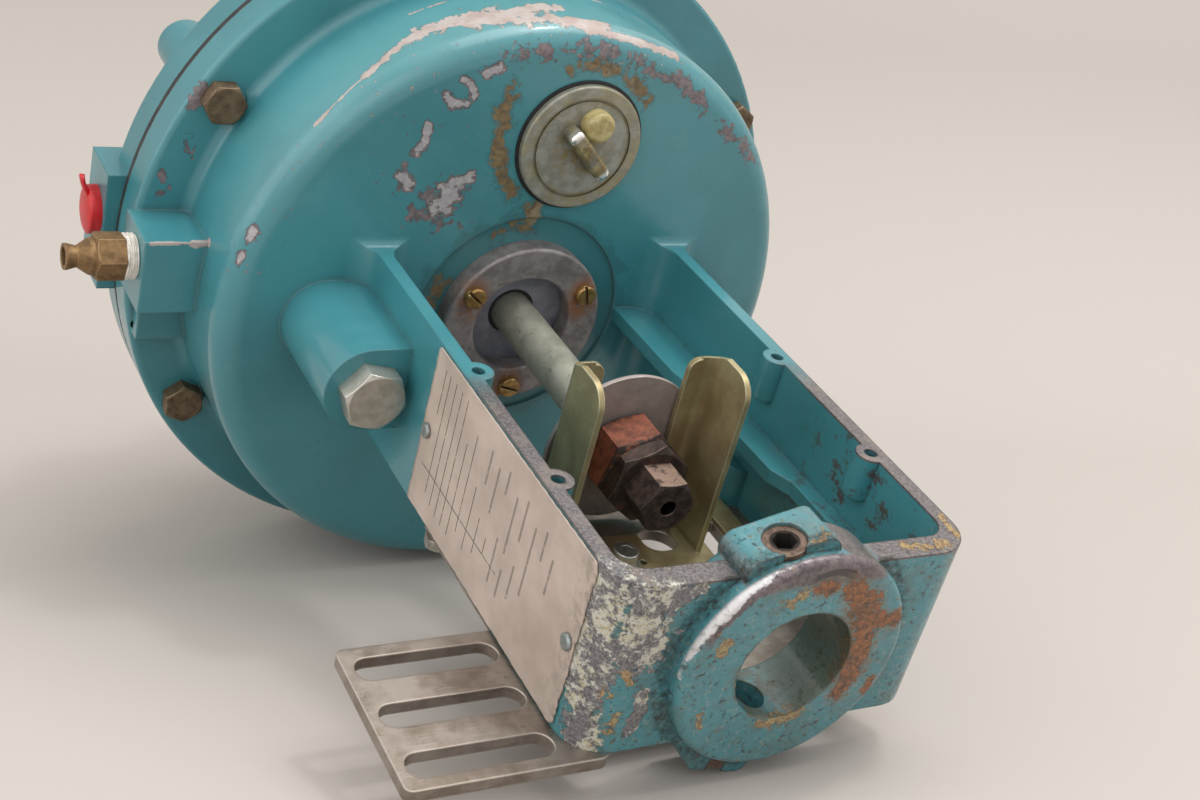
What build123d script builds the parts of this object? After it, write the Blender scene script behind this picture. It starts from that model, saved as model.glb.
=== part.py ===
from build123d import *
import os
from math import cos, radians, sin, sqrt

# Pneumatic spring-return diaphragm actuator with a two-sided yoke.
# Frame: origin at the centre of the collar's mounting face, +Z along the stem
# towards the diaphragm case, -Y out of the yoke's open side, +X to the right
# when looking into that side. Millimetres throughout.

os.makedirs("parts", exist_ok=True)

# ---- driving dimensions -------------------------------------------------
COLLAR_R = 37.0
COLLAR_BORE_R = 18.65
COLLAR_LENGTH = 20.0
SET_SCREW_R = 6.3
SET_SCREW_Z = 10.0
SET_SCREW_ANGLES = (-105.0, 105.0)

YOKE_HALF_WIDTH = 60.0
YOKE_HALF_DEPTH = 29.1
YOKE_WALL = 5.0
ROOT_FILLET_R = 3.0
END_WALL_OUTER_Z = 6.5
END_WALL_INNER_Z = 14.5
RIM_SCREW_X = 55.0
RIM_SCREW_Z = (55.9, 112.0)
RIM_BOSS_R = 4.9
RIM_HOLE_R = 2.1
BACK_SCREW_R = 2.5

DRUM_FACE_Z = 190.0
DRUM_R = 108.5
DRUM_EDGE_R = 8.5
CASE_WALL = 8.0
FLANGE_R = 126.5
FRONT_FLANGE_Z = 236.4
DIAPHRAGM_FRONT_Z = 250.4
DIAPHRAGM_BACK_Z = 252.8
REAR_FLANGE_Z = 266.8
CAVITY_R = DRUM_R - CASE_WALL

CASE_BOLT_CIRCLE_R = 117.0
CASE_BOLT_ANGLES = (-150.0, -90.0, -30.0, 30.0, 90.0, 150.0)
CASE_BOLT_R = 4.0
CASE_BOLT_FLATS = 13.0
CASE_BOLT_HEAD = 5.6

BARREL_R = 66.0
BARREL_TOP_Z = 344.0
ADJUSTER_HUB_TOP_Z = 354.0

STEM_R = 7.5
STEM_THREAD_R = 6.0
VALVE_STEM_R = 2.8
STEM_SHOULDER_Z = 108.8
DIAPHRAGM_SHOULDER_Z = 214.0
PLATE_FRONT_Z = DIAPHRAGM_SHOULDER_Z + 4 + DIAPHRAGM_BACK_Z - DIAPHRAGM_FRONT_Z
REST_STOP_Z = 213.6
BUSHING_BACK_Z = 212.0
WIPER_R = 8.8
CONNECTOR_SHANK_Z = 119.0

CONNECTOR_FRONT_Z = 74.0
CONNECTOR_BACK_Z = 86.0
JAM_NUT_BACK_Z = 92.0
LOCK_NUT_BACK_Z = 106.4
DISC_FRONT_Z = 107.3
DISC_R = 27.0

GLAND_FRONT_Z = 184.0
GLAND_RECESS_R = 39.5
GLAND_RECESS_Z = 191.2
BUSHING_FRONT_Z = 194.0
GLAND_R = 30.3
GLAND_BORE_R = 18.5
GLAND_SCREW_CIRCLE_R = 25.0
GLAND_SCREW_ANGLES = (-150.0, -30.0, 90.0)

SIDE_BOSS_X = 72.5
SIDE_BOSS_R = 15.0
SIDE_BOSS_FRONT_Z = 146.0

VENT_X = 8.0
VENT_Y = -67.4
VENT_R = 22.5
VENT_SPIGOT_R = 20.5
VENT_FRONT_Z = 187.0
VENT_BACK_Z = 189.2
VENT_BAR_TURN = 45.0

PORT_Y = -7.0
PORT_Z = 224.0
PORT_FACE_X = -128.0
PLUG_Y = -4.0
PLUG_Z = 263.0
PLUG_FACE_X = -131.0

NAMEPLATE_LENGTH = 109.5
NAMEPLATE_WIDTH = 54.5
NAMEPLATE_THICKNESS = 0.9
NAMEPLATE_CENTRE_Z = 73.25
RIVET_Z = (124.5, 22.5)
RIVET_R = 1.6

BRACKET_FRONT_Y = YOKE_HALF_DEPTH
BRACKET_THICKNESS = 4.0
BRACKET_LEFT_X = -109.0
SLOT_CENTRE_X = -84.0
SLOT_LENGTH = 44.0
SLOT_WIDTH = 9.4
SLOT_Z = (13.8, 33.0, 52.2)
BRACKET_NUT_HEIGHT = 3.4

FORK_SHEET = 2.0
FORK_SCREW_X = -5.0
FORK_SCREW_Z = 81.5
FORK_SCREW_R = 2.5
EAR_LEFT_X = -28.5
EAR_RIGHT_X = 26.0
EAR_FLANGE_TIP = 15.6
FLANGE_BOTTOM_Y = 22.0
BEND_R = 3.5
FLANGE_CORNER_R = 4.0
EAR_FRONT_Z = 83.5
EAR_BACK_Z = 106.4
EAR_TOP_Y = -38.0

SPRING_WIRE_R = 4.0
SPRING_COIL_R = 45.0
SPRING_TURNS = 5.5
SPRING_TOP_Z = 320.0

RUNNING_GAP = 0.05


# ---- helpers ------------------------------------------------------------
def block(x0, x1, y0, y1, z0, z1):
    """Box between two opposite corners."""
    centre = Pos((x0 + x1) / 2, (y0 + y1) / 2, (z0 + z1) / 2)
    return centre * Box(x1 - x0, y1 - y0, z1 - z0)


def rod_z(radius, z0, z1, x=0.0, y=0.0):
    """Cylinder along Z."""
    return Pos(x, y, (z0 + z1) / 2) * Cylinder(radius, z1 - z0)


def rod_x(radius, x0, x1, y, z):
    """Cylinder along X."""
    return Pos((x0 + x1) / 2, y, z) * Rot(0, 90, 0) * Cylinder(radius, x1 - x0)


def rod_y(radius, y0, y1, x, z):
    """Cylinder along Y."""
    return Pos(x, (y0 + y1) / 2, z) * Rot(90, 0, 0) * Cylinder(radius, y1 - y0)


def ring_z(outer, inner, z0, z1):
    """Flat ring along Z, centred on the stem."""
    return rod_z(outer, z0, z1) - rod_z(inner, z0 - 1, z1 + 1)


def hex_z(across_flats, z0, z1, turn=0.0):
    """Hexagonal prism along Z with a flat facing -Y when turn is zero."""
    outline = RegularPolygon(across_flats / sqrt(3), 6)
    prism = extrude(outline, z1 - z0)
    return Pos(0, 0, z0) * Rot(0, 0, turn) * prism


def chamfered_hex(across_flats, z0, z1, turn=0.0, chamfer_front=True, chamfer_back=False):
    """Hexagon whose corners are turned back by 30 degrees like a bolt head."""
    land = across_flats / 2 * 0.97
    reach = across_flats / sqrt(3) + 1.0
    drop = (reach - land) * 0.577
    points = [(0, z0)]
    if chamfer_front:
        points += [(land, z0), (reach, z0 + drop)]
    else:
        points += [(reach, z0)]
    if chamfer_back:
        points += [(reach, z1 - drop), (land, z1)]
    else:
        points += [(reach, z1)]
    points += [(0, z1)]
    return hex_z(across_flats, z0, z1, turn) & turned(points)


def turned(points, rounds=()):
    """Solid of revolution about Z from (radius, z) points.

    rounds lists (point index, radius) pairs for the corners to round.
    """
    outline = make_face(Polyline(*points, points[0]))
    for index, radius in rounds:
        target = Vector(points[index][0], points[index][1], 0)
        corner = outline.vertices().sort_by_distance(target)[0]
        outline = fillet(corner, radius)
    return revolve(Plane.XZ * outline, Axis.Z)


def plate_xz(points, y0, y1, rounds=()):
    """Plate cut to an (x, z) outline and filling y0 to y1."""
    outline = make_face(Polyline(*points, points[0]))
    for index, radius in rounds:
        target = Vector(points[index][0], points[index][1], 0)
        corner = outline.vertices().sort_by_distance(target)[0]
        outline = fillet(corner, radius)
    return Pos(0, y1, 0) * extrude(Plane.XZ * outline, y1 - y0)


def polar(radius, angle):
    """X and Y of a point at an angle about the stem."""
    return radius * cos(radians(angle)), radius * sin(radians(angle))


def save(node, shape):
    """Write one node as its own STEP file."""
    export_step(shape, f"parts/{node}.step")


# ---- front case, yoke and collar: one aluminium casting ------------------
def front_shell():
    """Drum, flange and stem boss, turned about the stem axis."""
    shell = turned(
        [
            (0, DRUM_FACE_Z),
            (DRUM_R, DRUM_FACE_Z),
            (DRUM_R, FRONT_FLANGE_Z),
            (FLANGE_R, FRONT_FLANGE_Z),
            (FLANGE_R, DIAPHRAGM_FRONT_Z),
            (CAVITY_R, DIAPHRAGM_FRONT_Z),
            (CAVITY_R, DRUM_FACE_Z + CASE_WALL),
            (0, DRUM_FACE_Z + CASE_WALL),
        ],
        rounds=((1, DRUM_EDGE_R), (2, 4.0), (3, 2.0), (5, 2.0), (6, 6.0)),
    )
    return shell + rod_z(26.0, DRUM_FACE_Z + 4, REST_STOP_Z)


def yoke():
    """Two side walls joined by an end wall, open at the front and back."""
    half = YOKE_HALF_WIDTH
    flare = 10.0
    outer = plate_xz(
        [
            (-half, END_WALL_OUTER_Z),
            (half, END_WALL_OUTER_Z),
            (half, DRUM_FACE_Z),
            (half + flare, DRUM_FACE_Z),
            (half + flare, DRUM_FACE_Z + 2),
            (-half - flare, DRUM_FACE_Z + 2),
            (-half - flare, DRUM_FACE_Z),
            (-half, DRUM_FACE_Z),
        ],
        -YOKE_HALF_DEPTH,
        YOKE_HALF_DEPTH,
        rounds=((0, 13.0), (1, 13.0), (2, 8.0), (7, 8.0)),
    )
    inner_half = half - YOKE_WALL
    window = plate_xz(
        [
            (-inner_half, END_WALL_INNER_Z),
            (inner_half, END_WALL_INNER_Z),
            (inner_half, DRUM_FACE_Z),
            (-inner_half, DRUM_FACE_Z),
        ],
        -YOKE_HALF_DEPTH - 1,
        YOKE_HALF_DEPTH + 1,
        rounds=((0, 8.0), (1, 8.0), (2, 9.0), (3, 9.0)),
    )
    return outer - window


def ledge(side):
    """Wavy stiffening ledge along the inside of one wall."""
    outline = [
        (56.0, 47.0),
        (50.5, 50.0),
        (49.2, 58.0),
        (49.0, 78.0),
        (45.0, 86.0),
        (44.6, 104.0),
        (44.0, 132.0),
        (41.0, 146.0),
        (40.0, 190.5),
        (56.0, 190.5),
    ]
    mirrored = [(side * x, z) for x, z in outline]
    return plate_xz(mirrored, -2.5, 2.5)


def collar():
    """Hub ring with its two set-screw pads."""
    hub = turned(
        [(0, 0), (COLLAR_R, 0), (COLLAR_R, COLLAR_LENGTH), (0, COLLAR_LENGTH)],
        rounds=((1, 2.5), (2, 3.0)),
    )
    front_pad = Pos(0, 0, 12.0) * Box(39.5, 30.0, 15.0, align=(Align.MIN, Align.CENTER, Align.CENTER))
    front_pad = fillet(front_pad.edges().filter_by(Axis.Z).sort_by(Axis.X)[-2:], 5.0)
    back_pad = Pos(0, 0, 12.0) * Box(43.0, 22.0, 15.0, align=(Align.MIN, Align.CENTER, Align.CENTER))
    back_pad = fillet(back_pad.edges().filter_by(Axis.Z).sort_by(Axis.X)[-2:], 3.0)
    hub += Rot(0, 0, SET_SCREW_ANGLES[0]) * front_pad
    hub += Rot(0, 0, SET_SCREW_ANGLES[1]) * back_pad
    return hub


def side_boss(side):
    """Boss that carries a hex bolt beside the root of one wall."""
    boss = rod_z(SIDE_BOSS_R, SIDE_BOSS_FRONT_Z, DRUM_FACE_Z + 2, side * SIDE_BOSS_X, -1.0)
    web = block(
        min(side * SIDE_BOSS_X, side * 58.0),
        max(side * SIDE_BOSS_X, side * 58.0),
        -1.0 - SIDE_BOSS_R,
        -1.0 + SIDE_BOSS_R,
        SIDE_BOSS_FRONT_Z,
        DRUM_FACE_Z + 2,
    )
    return boss + web


def on_drum_face(edge):
    """True for an edge where a yoke wall meets the drum's flat face."""
    middle = edge @ 0.5
    return abs(middle.Z - DRUM_FACE_Z) < 0.01 and abs(middle.X) < 75 and abs(middle.Y) < 40


def yoke_case():
    """The complete front casting with its machined holes."""
    body = front_shell() + yoke() + collar()
    roots = body.edges().filter_by(on_drum_face)
    body = fillet(roots, ROOT_FILLET_R)
    for side in (-1, 1):
        body += ledge(side)
        body += side_boss(side)
        for z in RIM_SCREW_Z:
            body += rod_y(RIM_BOSS_R, -YOKE_HALF_DEPTH, -YOKE_HALF_DEPTH + 15, side * RIM_SCREW_X, z)
            body += rod_y(RIM_BOSS_R, YOKE_HALF_DEPTH - 15, YOKE_HALF_DEPTH, side * RIM_SCREW_X, z)
    body += block(PORT_FACE_X, -96.0, -17.5, 9.0, 213.5, FRONT_FLANGE_Z + 1)
    body += block(-122.0, -96.0, 9.0, 30.0, 231.0, FRONT_FLANGE_Z + 1)

    body -= rod_z(COLLAR_BORE_R, -1, COLLAR_LENGTH + 1)
    for angle in SET_SCREW_ANGLES:
        hole = rod_x(SET_SCREW_R, 12.0, 50.0, 0.0, SET_SCREW_Z)
        body -= Rot(0, 0, angle) * hole
    for side in (-1, 1):
        body -= rod_z(6.0, SIDE_BOSS_FRONT_Z - 1, SIDE_BOSS_FRONT_Z + 32, side * SIDE_BOSS_X, -1.0)
        for z in RIM_SCREW_Z:
            body -= rod_y(RIM_HOLE_R, -YOKE_HALF_DEPTH - 1, -YOKE_HALF_DEPTH + 11, side * RIM_SCREW_X, z)
            body -= rod_y(BACK_SCREW_R, YOKE_HALF_DEPTH - 11, YOKE_HALF_DEPTH + 1, side * RIM_SCREW_X, z)
    for angle in CASE_BOLT_ANGLES:
        x, y = polar(CASE_BOLT_CIRCLE_R, angle)
        body -= rod_z(CASE_BOLT_R, FRONT_FLANGE_Z - 2, DIAPHRAGM_FRONT_Z + 1, x, y)
        body -= rod_z(8.3, FRONT_FLANGE_Z - 7, FRONT_FLANGE_Z, x, y)

    # Stem boss: a counterbore for the bushing flange and a bore for its sleeve.
    body -= rod_z(GLAND_RECESS_R, DRUM_FACE_Z - 1, GLAND_RECESS_Z)
    body -= rod_z(22.5, DRUM_FACE_Z, BUSHING_FRONT_Z + 3)
    body -= rod_z(13.0, DRUM_FACE_Z, REST_STOP_Z + 1)
    for angle in GLAND_SCREW_ANGLES:
        x, y = polar(GLAND_SCREW_CIRCLE_R, angle)
        body -= rod_z(2.0, DRUM_FACE_Z, DRUM_FACE_Z + 8, x, y)
    body -= rod_z(VENT_SPIGOT_R, DRUM_FACE_Z - 1, DRUM_FACE_Z + 20, VENT_X, VENT_Y)
    body -= rod_x(6.6, PORT_FACE_X - 1, -96.0, PORT_Y, PORT_Z)
    body -= rod_z(2.0, FRONT_FLANGE_Z - 1, FRONT_FLANGE_Z + 8, -120.5, 27.0)

    return body


# ---- rear case: spring housing -------------------------------------------
def rear_case():
    """Flanged dome that holds the return spring."""
    body = turned(
        [
            (0, DIAPHRAGM_BACK_Z),
            (FLANGE_R, DIAPHRAGM_BACK_Z),
            (FLANGE_R, REAR_FLANGE_Z),
            (103.0, REAR_FLANGE_Z),
            (100.0, 282.0),
            (BARREL_R + 4, 296.0),
            (BARREL_R, BARREL_TOP_Z),
            (22.0, BARREL_TOP_Z),
            (21.0, ADJUSTER_HUB_TOP_Z),
            (0, ADJUSTER_HUB_TOP_Z),
        ],
        rounds=((2, 2.0), (3, 4.0), (4, 10.0), (5, 8.0), (6, 12.0), (7, 5.0), (8, 2.0)),
    )
    for angle in CASE_BOLT_ANGLES:
        x, y = polar(CASE_BOLT_CIRCLE_R, angle)
        body += rod_z(9.5, DIAPHRAGM_BACK_Z, 281.0, x, y)
        rib = plate_xz(
            [(60.0, 262.0), (116.0, 262.0), (116.0, 276.0), (74.0, 322.0), (60.0, 332.0)],
            -3.5,
            3.5,
        )
        body += Rot(0, 0, angle) * rib
    body += block(PLUG_FACE_X, -92.0, -22.0, 22.0, DIAPHRAGM_BACK_Z, 275.0)
    cavity = turned(
        [
            (0, DIAPHRAGM_BACK_Z - 1),
            (96.0, DIAPHRAGM_BACK_Z - 1),
            (94.0, 277.0),
            (60.0, 292.0),
            (58.0, BARREL_TOP_Z - 8),
            (0, BARREL_TOP_Z - 8),
        ],
        rounds=((2, 8.0), (3, 5.0), (4, 6.0)),
    )
    body -= cavity
    for angle in CASE_BOLT_ANGLES:
        x, y = polar(CASE_BOLT_CIRCLE_R, angle)
        body -= rod_z(CASE_BOLT_R, DIAPHRAGM_BACK_Z - 1, 274.0, x, y)
    body -= rod_x(6.0, PLUG_FACE_X - 1, -90.0, PLUG_Y, PLUG_Z)
    body -= rod_z(8.0, BARREL_TOP_Z - 10, ADJUSTER_HUB_TOP_Z + 1)
    body -= rod_z(2.0, BARREL_TOP_Z - 10, BARREL_TOP_Z + 1, 0.0, 44.0)
    return body


# ---- fasteners and fittings on the case ----------------------------------
def case_bolts():
    """Six hex bolts that clamp the two cases together."""
    bolts = []
    for number, angle in enumerate(CASE_BOLT_ANGLES):
        x, y = polar(CASE_BOLT_CIRCLE_R, angle)
        head_front = FRONT_FLANGE_Z - CASE_BOLT_HEAD
        head = chamfered_hex(CASE_BOLT_FLATS, head_front, FRONT_FLANGE_Z, turn=17.0 * number)
        shank = rod_z(CASE_BOLT_R, FRONT_FLANGE_Z - 1, 272.0)
        bolts.append(Pos(x, y, 0) * (head + shank))
    return Compound(children=bolts)


def side_boss_bolts():
    """Hex bolt in each side boss."""
    bolts = []
    for side in (-1, 1):
        head = chamfered_hex(19.0, SIDE_BOSS_FRONT_Z - 7.5, SIDE_BOSS_FRONT_Z, turn=12.0)
        shank = rod_z(6.0, SIDE_BOSS_FRONT_Z - 1, SIDE_BOSS_FRONT_Z + 28)
        bolts.append(Pos(side * SIDE_BOSS_X, -1.0, 0) * (head + shank))
    return Compound(children=bolts)


def collar_set_screws():
    """Hollow hex set screws that grip the valve bonnet."""
    screws = []
    for angle, outer in zip(SET_SCREW_ANGLES, (38.6, 41.5)):
        screw = rod_x(SET_SCREW_R, outer - 17.5, outer, 0.0, 0.0)
        socket = Pos(outer - 7.0, 0, 0) * Rot(0, 90, 0) * extrude(RegularPolygon(3.6, 6), 8.0)
        screw -= socket
        screws.append(Rot(0, 0, angle) * Pos(0, 0, SET_SCREW_Z) * screw)
    return Compound(children=screws)


def seal_retainer():
    """Round plate that holds the stem bushing in the case."""
    plate = turned(
        [
            (GLAND_BORE_R, GLAND_FRONT_Z),
            (GLAND_R, GLAND_FRONT_Z),
            (GLAND_R, GLAND_RECESS_Z),
            (GLAND_BORE_R, GLAND_RECESS_Z),
        ],
        rounds=((0, 1.0), (1, 1.2)),
    )
    for angle in GLAND_SCREW_ANGLES:
        x, y = polar(GLAND_SCREW_CIRCLE_R, angle)
        plate -= rod_z(2.0, GLAND_FRONT_Z - 1, GLAND_RECESS_Z + 1, x, y)
    return plate


def gland_screws():
    """Brass slotted cheese-head screws."""
    screws = []
    for angle, slot_turn in zip(GLAND_SCREW_ANGLES, (40.0, 75.0, 15.0)):
        x, y = polar(GLAND_SCREW_CIRCLE_R, angle)
        head = rod_z(3.9, GLAND_FRONT_Z - 3, GLAND_FRONT_Z)
        head = fillet(head.edges().sort_by(Axis.Z)[0], 1.0)
        slot = Rot(0, 0, slot_turn) * block(-5, 5, -0.6, 0.6, GLAND_FRONT_Z - 4, GLAND_FRONT_Z - 1.6)
        shank = rod_z(2.0, GLAND_FRONT_Z - 0.5, GLAND_FRONT_Z + 13)
        screws.append(Pos(x, y, 0) * (head - slot + shank))
    return Compound(children=screws)


def stem_bushing():
    """Flanged guide for the stem with a seat for the wiper ring."""
    z0 = BUSHING_FRONT_Z
    body = rod_z(22.5, z0, z0 + 3) + rod_z(13.0, z0, BUSHING_BACK_Z)
    body -= rod_z(STEM_R + RUNNING_GAP, z0 - 1, BUSHING_BACK_Z + 1)
    body -= rod_z(WIPER_R, z0 - 1, z0 + 3)
    return body - rod_z(10.0, z0 + 8, z0 + 11)


def stem_wiper():
    """Rubber wiper ring at the outer end of the bushing."""
    return ring_z(WIPER_R, STEM_R + RUNNING_GAP, BUSHING_FRONT_Z + 0.2, BUSHING_FRONT_Z + 3)


def stem_seal():
    """Rubber seal ring inside the bushing."""
    return ring_z(10.0, STEM_R + RUNNING_GAP, BUSHING_FRONT_Z + 8, BUSHING_FRONT_Z + 11)


def vent_plug():
    """Round plug with a thumb bar that turns in the drum face."""
    disc = turned(
        [(0, VENT_FRONT_Z), (VENT_R, VENT_FRONT_Z), (VENT_R, VENT_BACK_Z), (0, VENT_BACK_Z)],
        rounds=((1, 0.8),),
    )
    disc -= ring_z(18.2, 17.2, VENT_FRONT_Z - 1, VENT_FRONT_Z + 0.6)
    disc += rod_z(VENT_SPIGOT_R - RUNNING_GAP, VENT_BACK_Z - 0.2, VENT_BACK_Z + 7.8)
    bar = Pos(0, 0, VENT_FRONT_Z - 3.4) * Box(22.0, 5.6, 7.6)
    bar = fillet(bar.edges().filter_by(Axis.Z), 2.2)
    bar = fillet(bar.edges().group_by(Axis.Z)[0], 1.4)
    return Pos(VENT_X, VENT_Y, 0) * (disc + Rot(0, 0, VENT_BAR_TURN) * bar)


def vent_gasket():
    """Rubber ring between the vent plug and the drum face."""
    ring = ring_z(VENT_R + 1.1, VENT_SPIGOT_R + 0.3, VENT_BACK_Z + RUNNING_GAP, DRUM_FACE_Z)
    return Pos(VENT_X, VENT_Y, 0) * ring


def vent_button():
    """Small round cap beside the thumb bar."""
    cap = rod_z(5.5, VENT_FRONT_Z - 5.4, VENT_FRONT_Z)
    cap = fillet(cap.edges().sort_by(Axis.Z)[0], 2.0)
    return Pos(VENT_X + 2.6, VENT_Y - 9.4, 0) * cap


def air_fitting():
    """Brass tube connector screwed into the front case."""
    x = PORT_FACE_X
    body = rod_x(6.6, x - 4.0, x + 14.0, 0, 0)
    hexagon = Rot(0, -90, 0) * chamfered_hex(14.3, -x + 4.0, -x + 13.5, 10.0, False, True)
    body += hexagon
    nose = turned(
        [(0, 13.0), (6.2, 13.0), (6.2, 15.0), (3.6, 19.0), (4.4, 22.0), (4.4, 23.0), (0, 23.0)],
    )
    body += Pos(x, 0, 0) * Rot(0, -90, 0) * nose
    body -= rod_x(2.4, x - 30.0, x + 20.0, 0, 0)
    body -= rod_x(3.2, x - 30.0, x - 14.0, 0, 0)
    return Pos(0, PORT_Y, PORT_Z) * body


def thread_tape():
    """Sealing tape wound round the fitting where it enters the boss."""
    wrap = Pos(0, PORT_Y, PORT_Z) * rod_x(7.7, PORT_FACE_X - 4.0, PORT_FACE_X, 0, 0)
    return wrap - Pos(0, PORT_Y, PORT_Z) * rod_x(6.6, PORT_FACE_X - 5.0, PORT_FACE_X + 1.0, 0, 0)


def port_plug():
    """Flanged plastic plug that closes the rear case's unused port."""
    x = PLUG_FACE_X
    body = rod_x(5.95, x - 1.0, x + 12.0, 0, 0)
    body += rod_x(8.6, x - 1.8, x, 0, 0)
    body += rod_x(5.0, x - 4.8, x - 1.0, 0, 0)
    body -= rod_x(3.6, x - 8.0, x + 9.0, 0, 0)
    return Pos(0, PLUG_Y, PLUG_Z) * body


def nameplate():
    """Blank metal plate on the outer face of one wall."""
    outline = RectangleRounded(NAMEPLATE_LENGTH, NAMEPLATE_WIDTH, 3.0)
    plate = extrude(outline, NAMEPLATE_THICKNESS)
    plate = Pos(-YOKE_HALF_WIDTH, 0.75, NAMEPLATE_CENTRE_Z) * Rot(0, -90, 0) * plate
    for z in RIVET_Z:
        plate -= rod_x(RIVET_R, -YOKE_HALF_WIDTH - 5, -YOKE_HALF_WIDTH + 5, 0.5, z)
    return plate


def nameplate_rivets():
    """Round-head drive pins of the nameplate."""
    pins = []
    plate_face = -YOKE_HALF_WIDTH - NAMEPLATE_THICKNESS
    for z in RIVET_Z:
        head = rod_x(2.6, plate_face - 1.1, plate_face, 0.5, z)
        head = fillet(head.edges().sort_by(Axis.X)[0], 0.8)
        pins.append(head + rod_x(RIVET_R, plate_face - 0.1, -YOKE_HALF_WIDTH, 0.5, z))
    return Compound(children=pins)


# ---- brackets behind the yoke --------------------------------------------
def slot_y(centre_x, centre_z, length, width, y0, y1):
    """Round-ended slot along X that runs through a plate normal to Y."""
    reach = (length - width) / 2
    shape = rod_y(width / 2, y0, y1, centre_x - reach, centre_z)
    shape += rod_y(width / 2, y0, y1, centre_x + reach, centre_z)
    return shape + block(
        centre_x - reach, centre_x + reach, y0, y1, centre_z - width / 2, centre_z + width / 2
    )


def slotted_bracket():
    """Steel mounting plate with three adjustment slots beside the yoke."""
    y0 = BRACKET_FRONT_Y
    y1 = BRACKET_FRONT_Y + BRACKET_THICKNESS
    plate = plate_xz(
        [
            (BRACKET_LEFT_X, 5.0),
            (-47.0, 5.0),
            (-47.0, 24.0),
            (58.0, 24.0),
            (58.0, 120.0),
            (-58.0, 120.0),
            (-58.0, 61.5),
            (BRACKET_LEFT_X, 61.5),
        ],
        y0,
        y1,
        rounds=((0, 2.5), (1, 4.0), (2, 3.0), (3, 4.0), (4, 4.0), (5, 4.0), (7, 2.5)),
    )
    for z in SLOT_Z:
        plate -= slot_y(SLOT_CENTRE_X, z, SLOT_LENGTH, SLOT_WIDTH, y0 - 1, y1 + 1)
    for side in (-1, 1):
        for z in RIM_SCREW_Z:
            plate -= rod_y(BACK_SCREW_R, y0 - 1, y1 + 1, side * RIM_SCREW_X, z)
    plate -= rod_y(8.0, y0 - 1, y1 + 1, 14.5, 91.5)
    plate -= plate_xz([(30.0, 79.0), (41.0, 79.0), (41.0, 100.0), (30.0, 100.0)], y0 - 1, y1 + 1)
    return plate - rod_y(FORK_SCREW_R, y0 - 1, y1 + 1, FORK_SCREW_X, FORK_SCREW_Z)


def bracket_screws():
    """Hex screws that hold the bracket to the yoke's back rims."""
    back = BRACKET_FRONT_Y + BRACKET_THICKNESS
    screws = []
    for side in (-1, 1):
        for z in RIM_SCREW_Z:
            head = Rot(90, 0, 0) * chamfered_hex(8.0, -3.6, 0.0, 15.0)
            head = Pos(side * RIM_SCREW_X, back, z) * head
            shank = rod_y(BACK_SCREW_R, back - 12.0, back + 1.0, side * RIM_SCREW_X, z)
            screws.append(head + shank)
    return Compound(children=screws)


def fork_ear(side):
    """Upright ear with a return flange, rounded at the top."""
    x = EAR_RIGHT_X if side > 0 else EAR_LEFT_X
    inner = x - side * FORK_SHEET
    flange_tip = side * EAR_FLANGE_TIP
    section = [
        (x, EAR_FRONT_Z),
        (x, EAR_BACK_Z),
        (flange_tip, EAR_BACK_Z),
        (flange_tip, EAR_BACK_Z - FORK_SHEET),
        (inner, EAR_BACK_Z - FORK_SHEET),
        (inner, EAR_FRONT_Z),
    ]
    bend = ((1, BEND_R + FORK_SHEET), (4, BEND_R))
    ear = plate_xz(section, EAR_TOP_Y, FLANGE_BOTTOM_Y, bend)
    ear += block(
        min(x, inner), max(x, inner), FLANGE_BOTTOM_Y, BRACKET_FRONT_Y, EAR_FRONT_Z, EAR_BACK_Z - 6
    )
    outline = make_face(
        Polyline(
            (EAR_TOP_Y, EAR_FRONT_Z),
            (BRACKET_FRONT_Y + 1, EAR_FRONT_Z),
            (BRACKET_FRONT_Y + 1, EAR_BACK_Z + 1),
            (EAR_TOP_Y + 4, EAR_BACK_Z + 1),
            (EAR_TOP_Y, EAR_FRONT_Z + 15),
            (EAR_TOP_Y, EAR_FRONT_Z),
        )
    )
    corner = outline.vertices().sort_by_distance(Vector(EAR_TOP_Y, EAR_FRONT_Z, 0))[0]
    outline = fillet(corner, 8.0)
    profile = Pos(-40.0, 0, 0) * extrude(Plane.YZ * outline, 80.0)
    ear = ear & profile

    # Round the flange's top corner.
    r = FLANGE_CORNER_R
    z0 = EAR_BACK_Z - FORK_SHEET - 0.5
    z1 = EAR_BACK_Z + 1
    corner_x = flange_tip + side * r
    corner_y = EAR_TOP_Y + 3.7 + r
    waste = block(min(flange_tip, corner_x), max(flange_tip, corner_x), EAR_TOP_Y, corner_y, z0, z1)
    waste -= rod_z(r, z0 - 1, z1 + 1, corner_x, corner_y)
    return ear - waste


def feedback_fork():
    """Zinc-plated fork whose two ears flank the stem in front of the disc."""
    y0 = BRACKET_FRONT_Y - FORK_SHEET
    y1 = BRACKET_FRONT_Y
    base = plate_xz(
        [
            (EAR_LEFT_X, 62.0),
            (49.6, 62.0),
            (49.6, 110.0),
            (41.0, 110.0),
            (41.0, 79.0),
            (30.0, 79.0),
            (30.0, 104.0),
            (22.0, 104.0),
            (22.0, 96.0),
            (21.0, 96.0),
            (21.0, 86.0),
            (8.0, 86.0),
            (8.0, 96.0),
            (EAR_LEFT_X + 4, 96.0),
            (EAR_LEFT_X + 4, EAR_BACK_Z),
            (EAR_LEFT_X, EAR_BACK_Z),
        ],
        y0,
        y1,
        rounds=((0, 4.0), (1, 4.0), (10, 5.5), (11, 5.5)),
    )
    base -= rod_y(FORK_SCREW_R, y0 - 1, y1 + 1, FORK_SCREW_X, FORK_SCREW_Z)
    base -= rod_y(1.2, y0 - 1, y1 + 1, FORK_SCREW_X + 8, FORK_SCREW_Z)
    return base + fork_ear(-1) + fork_ear(1)


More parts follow.
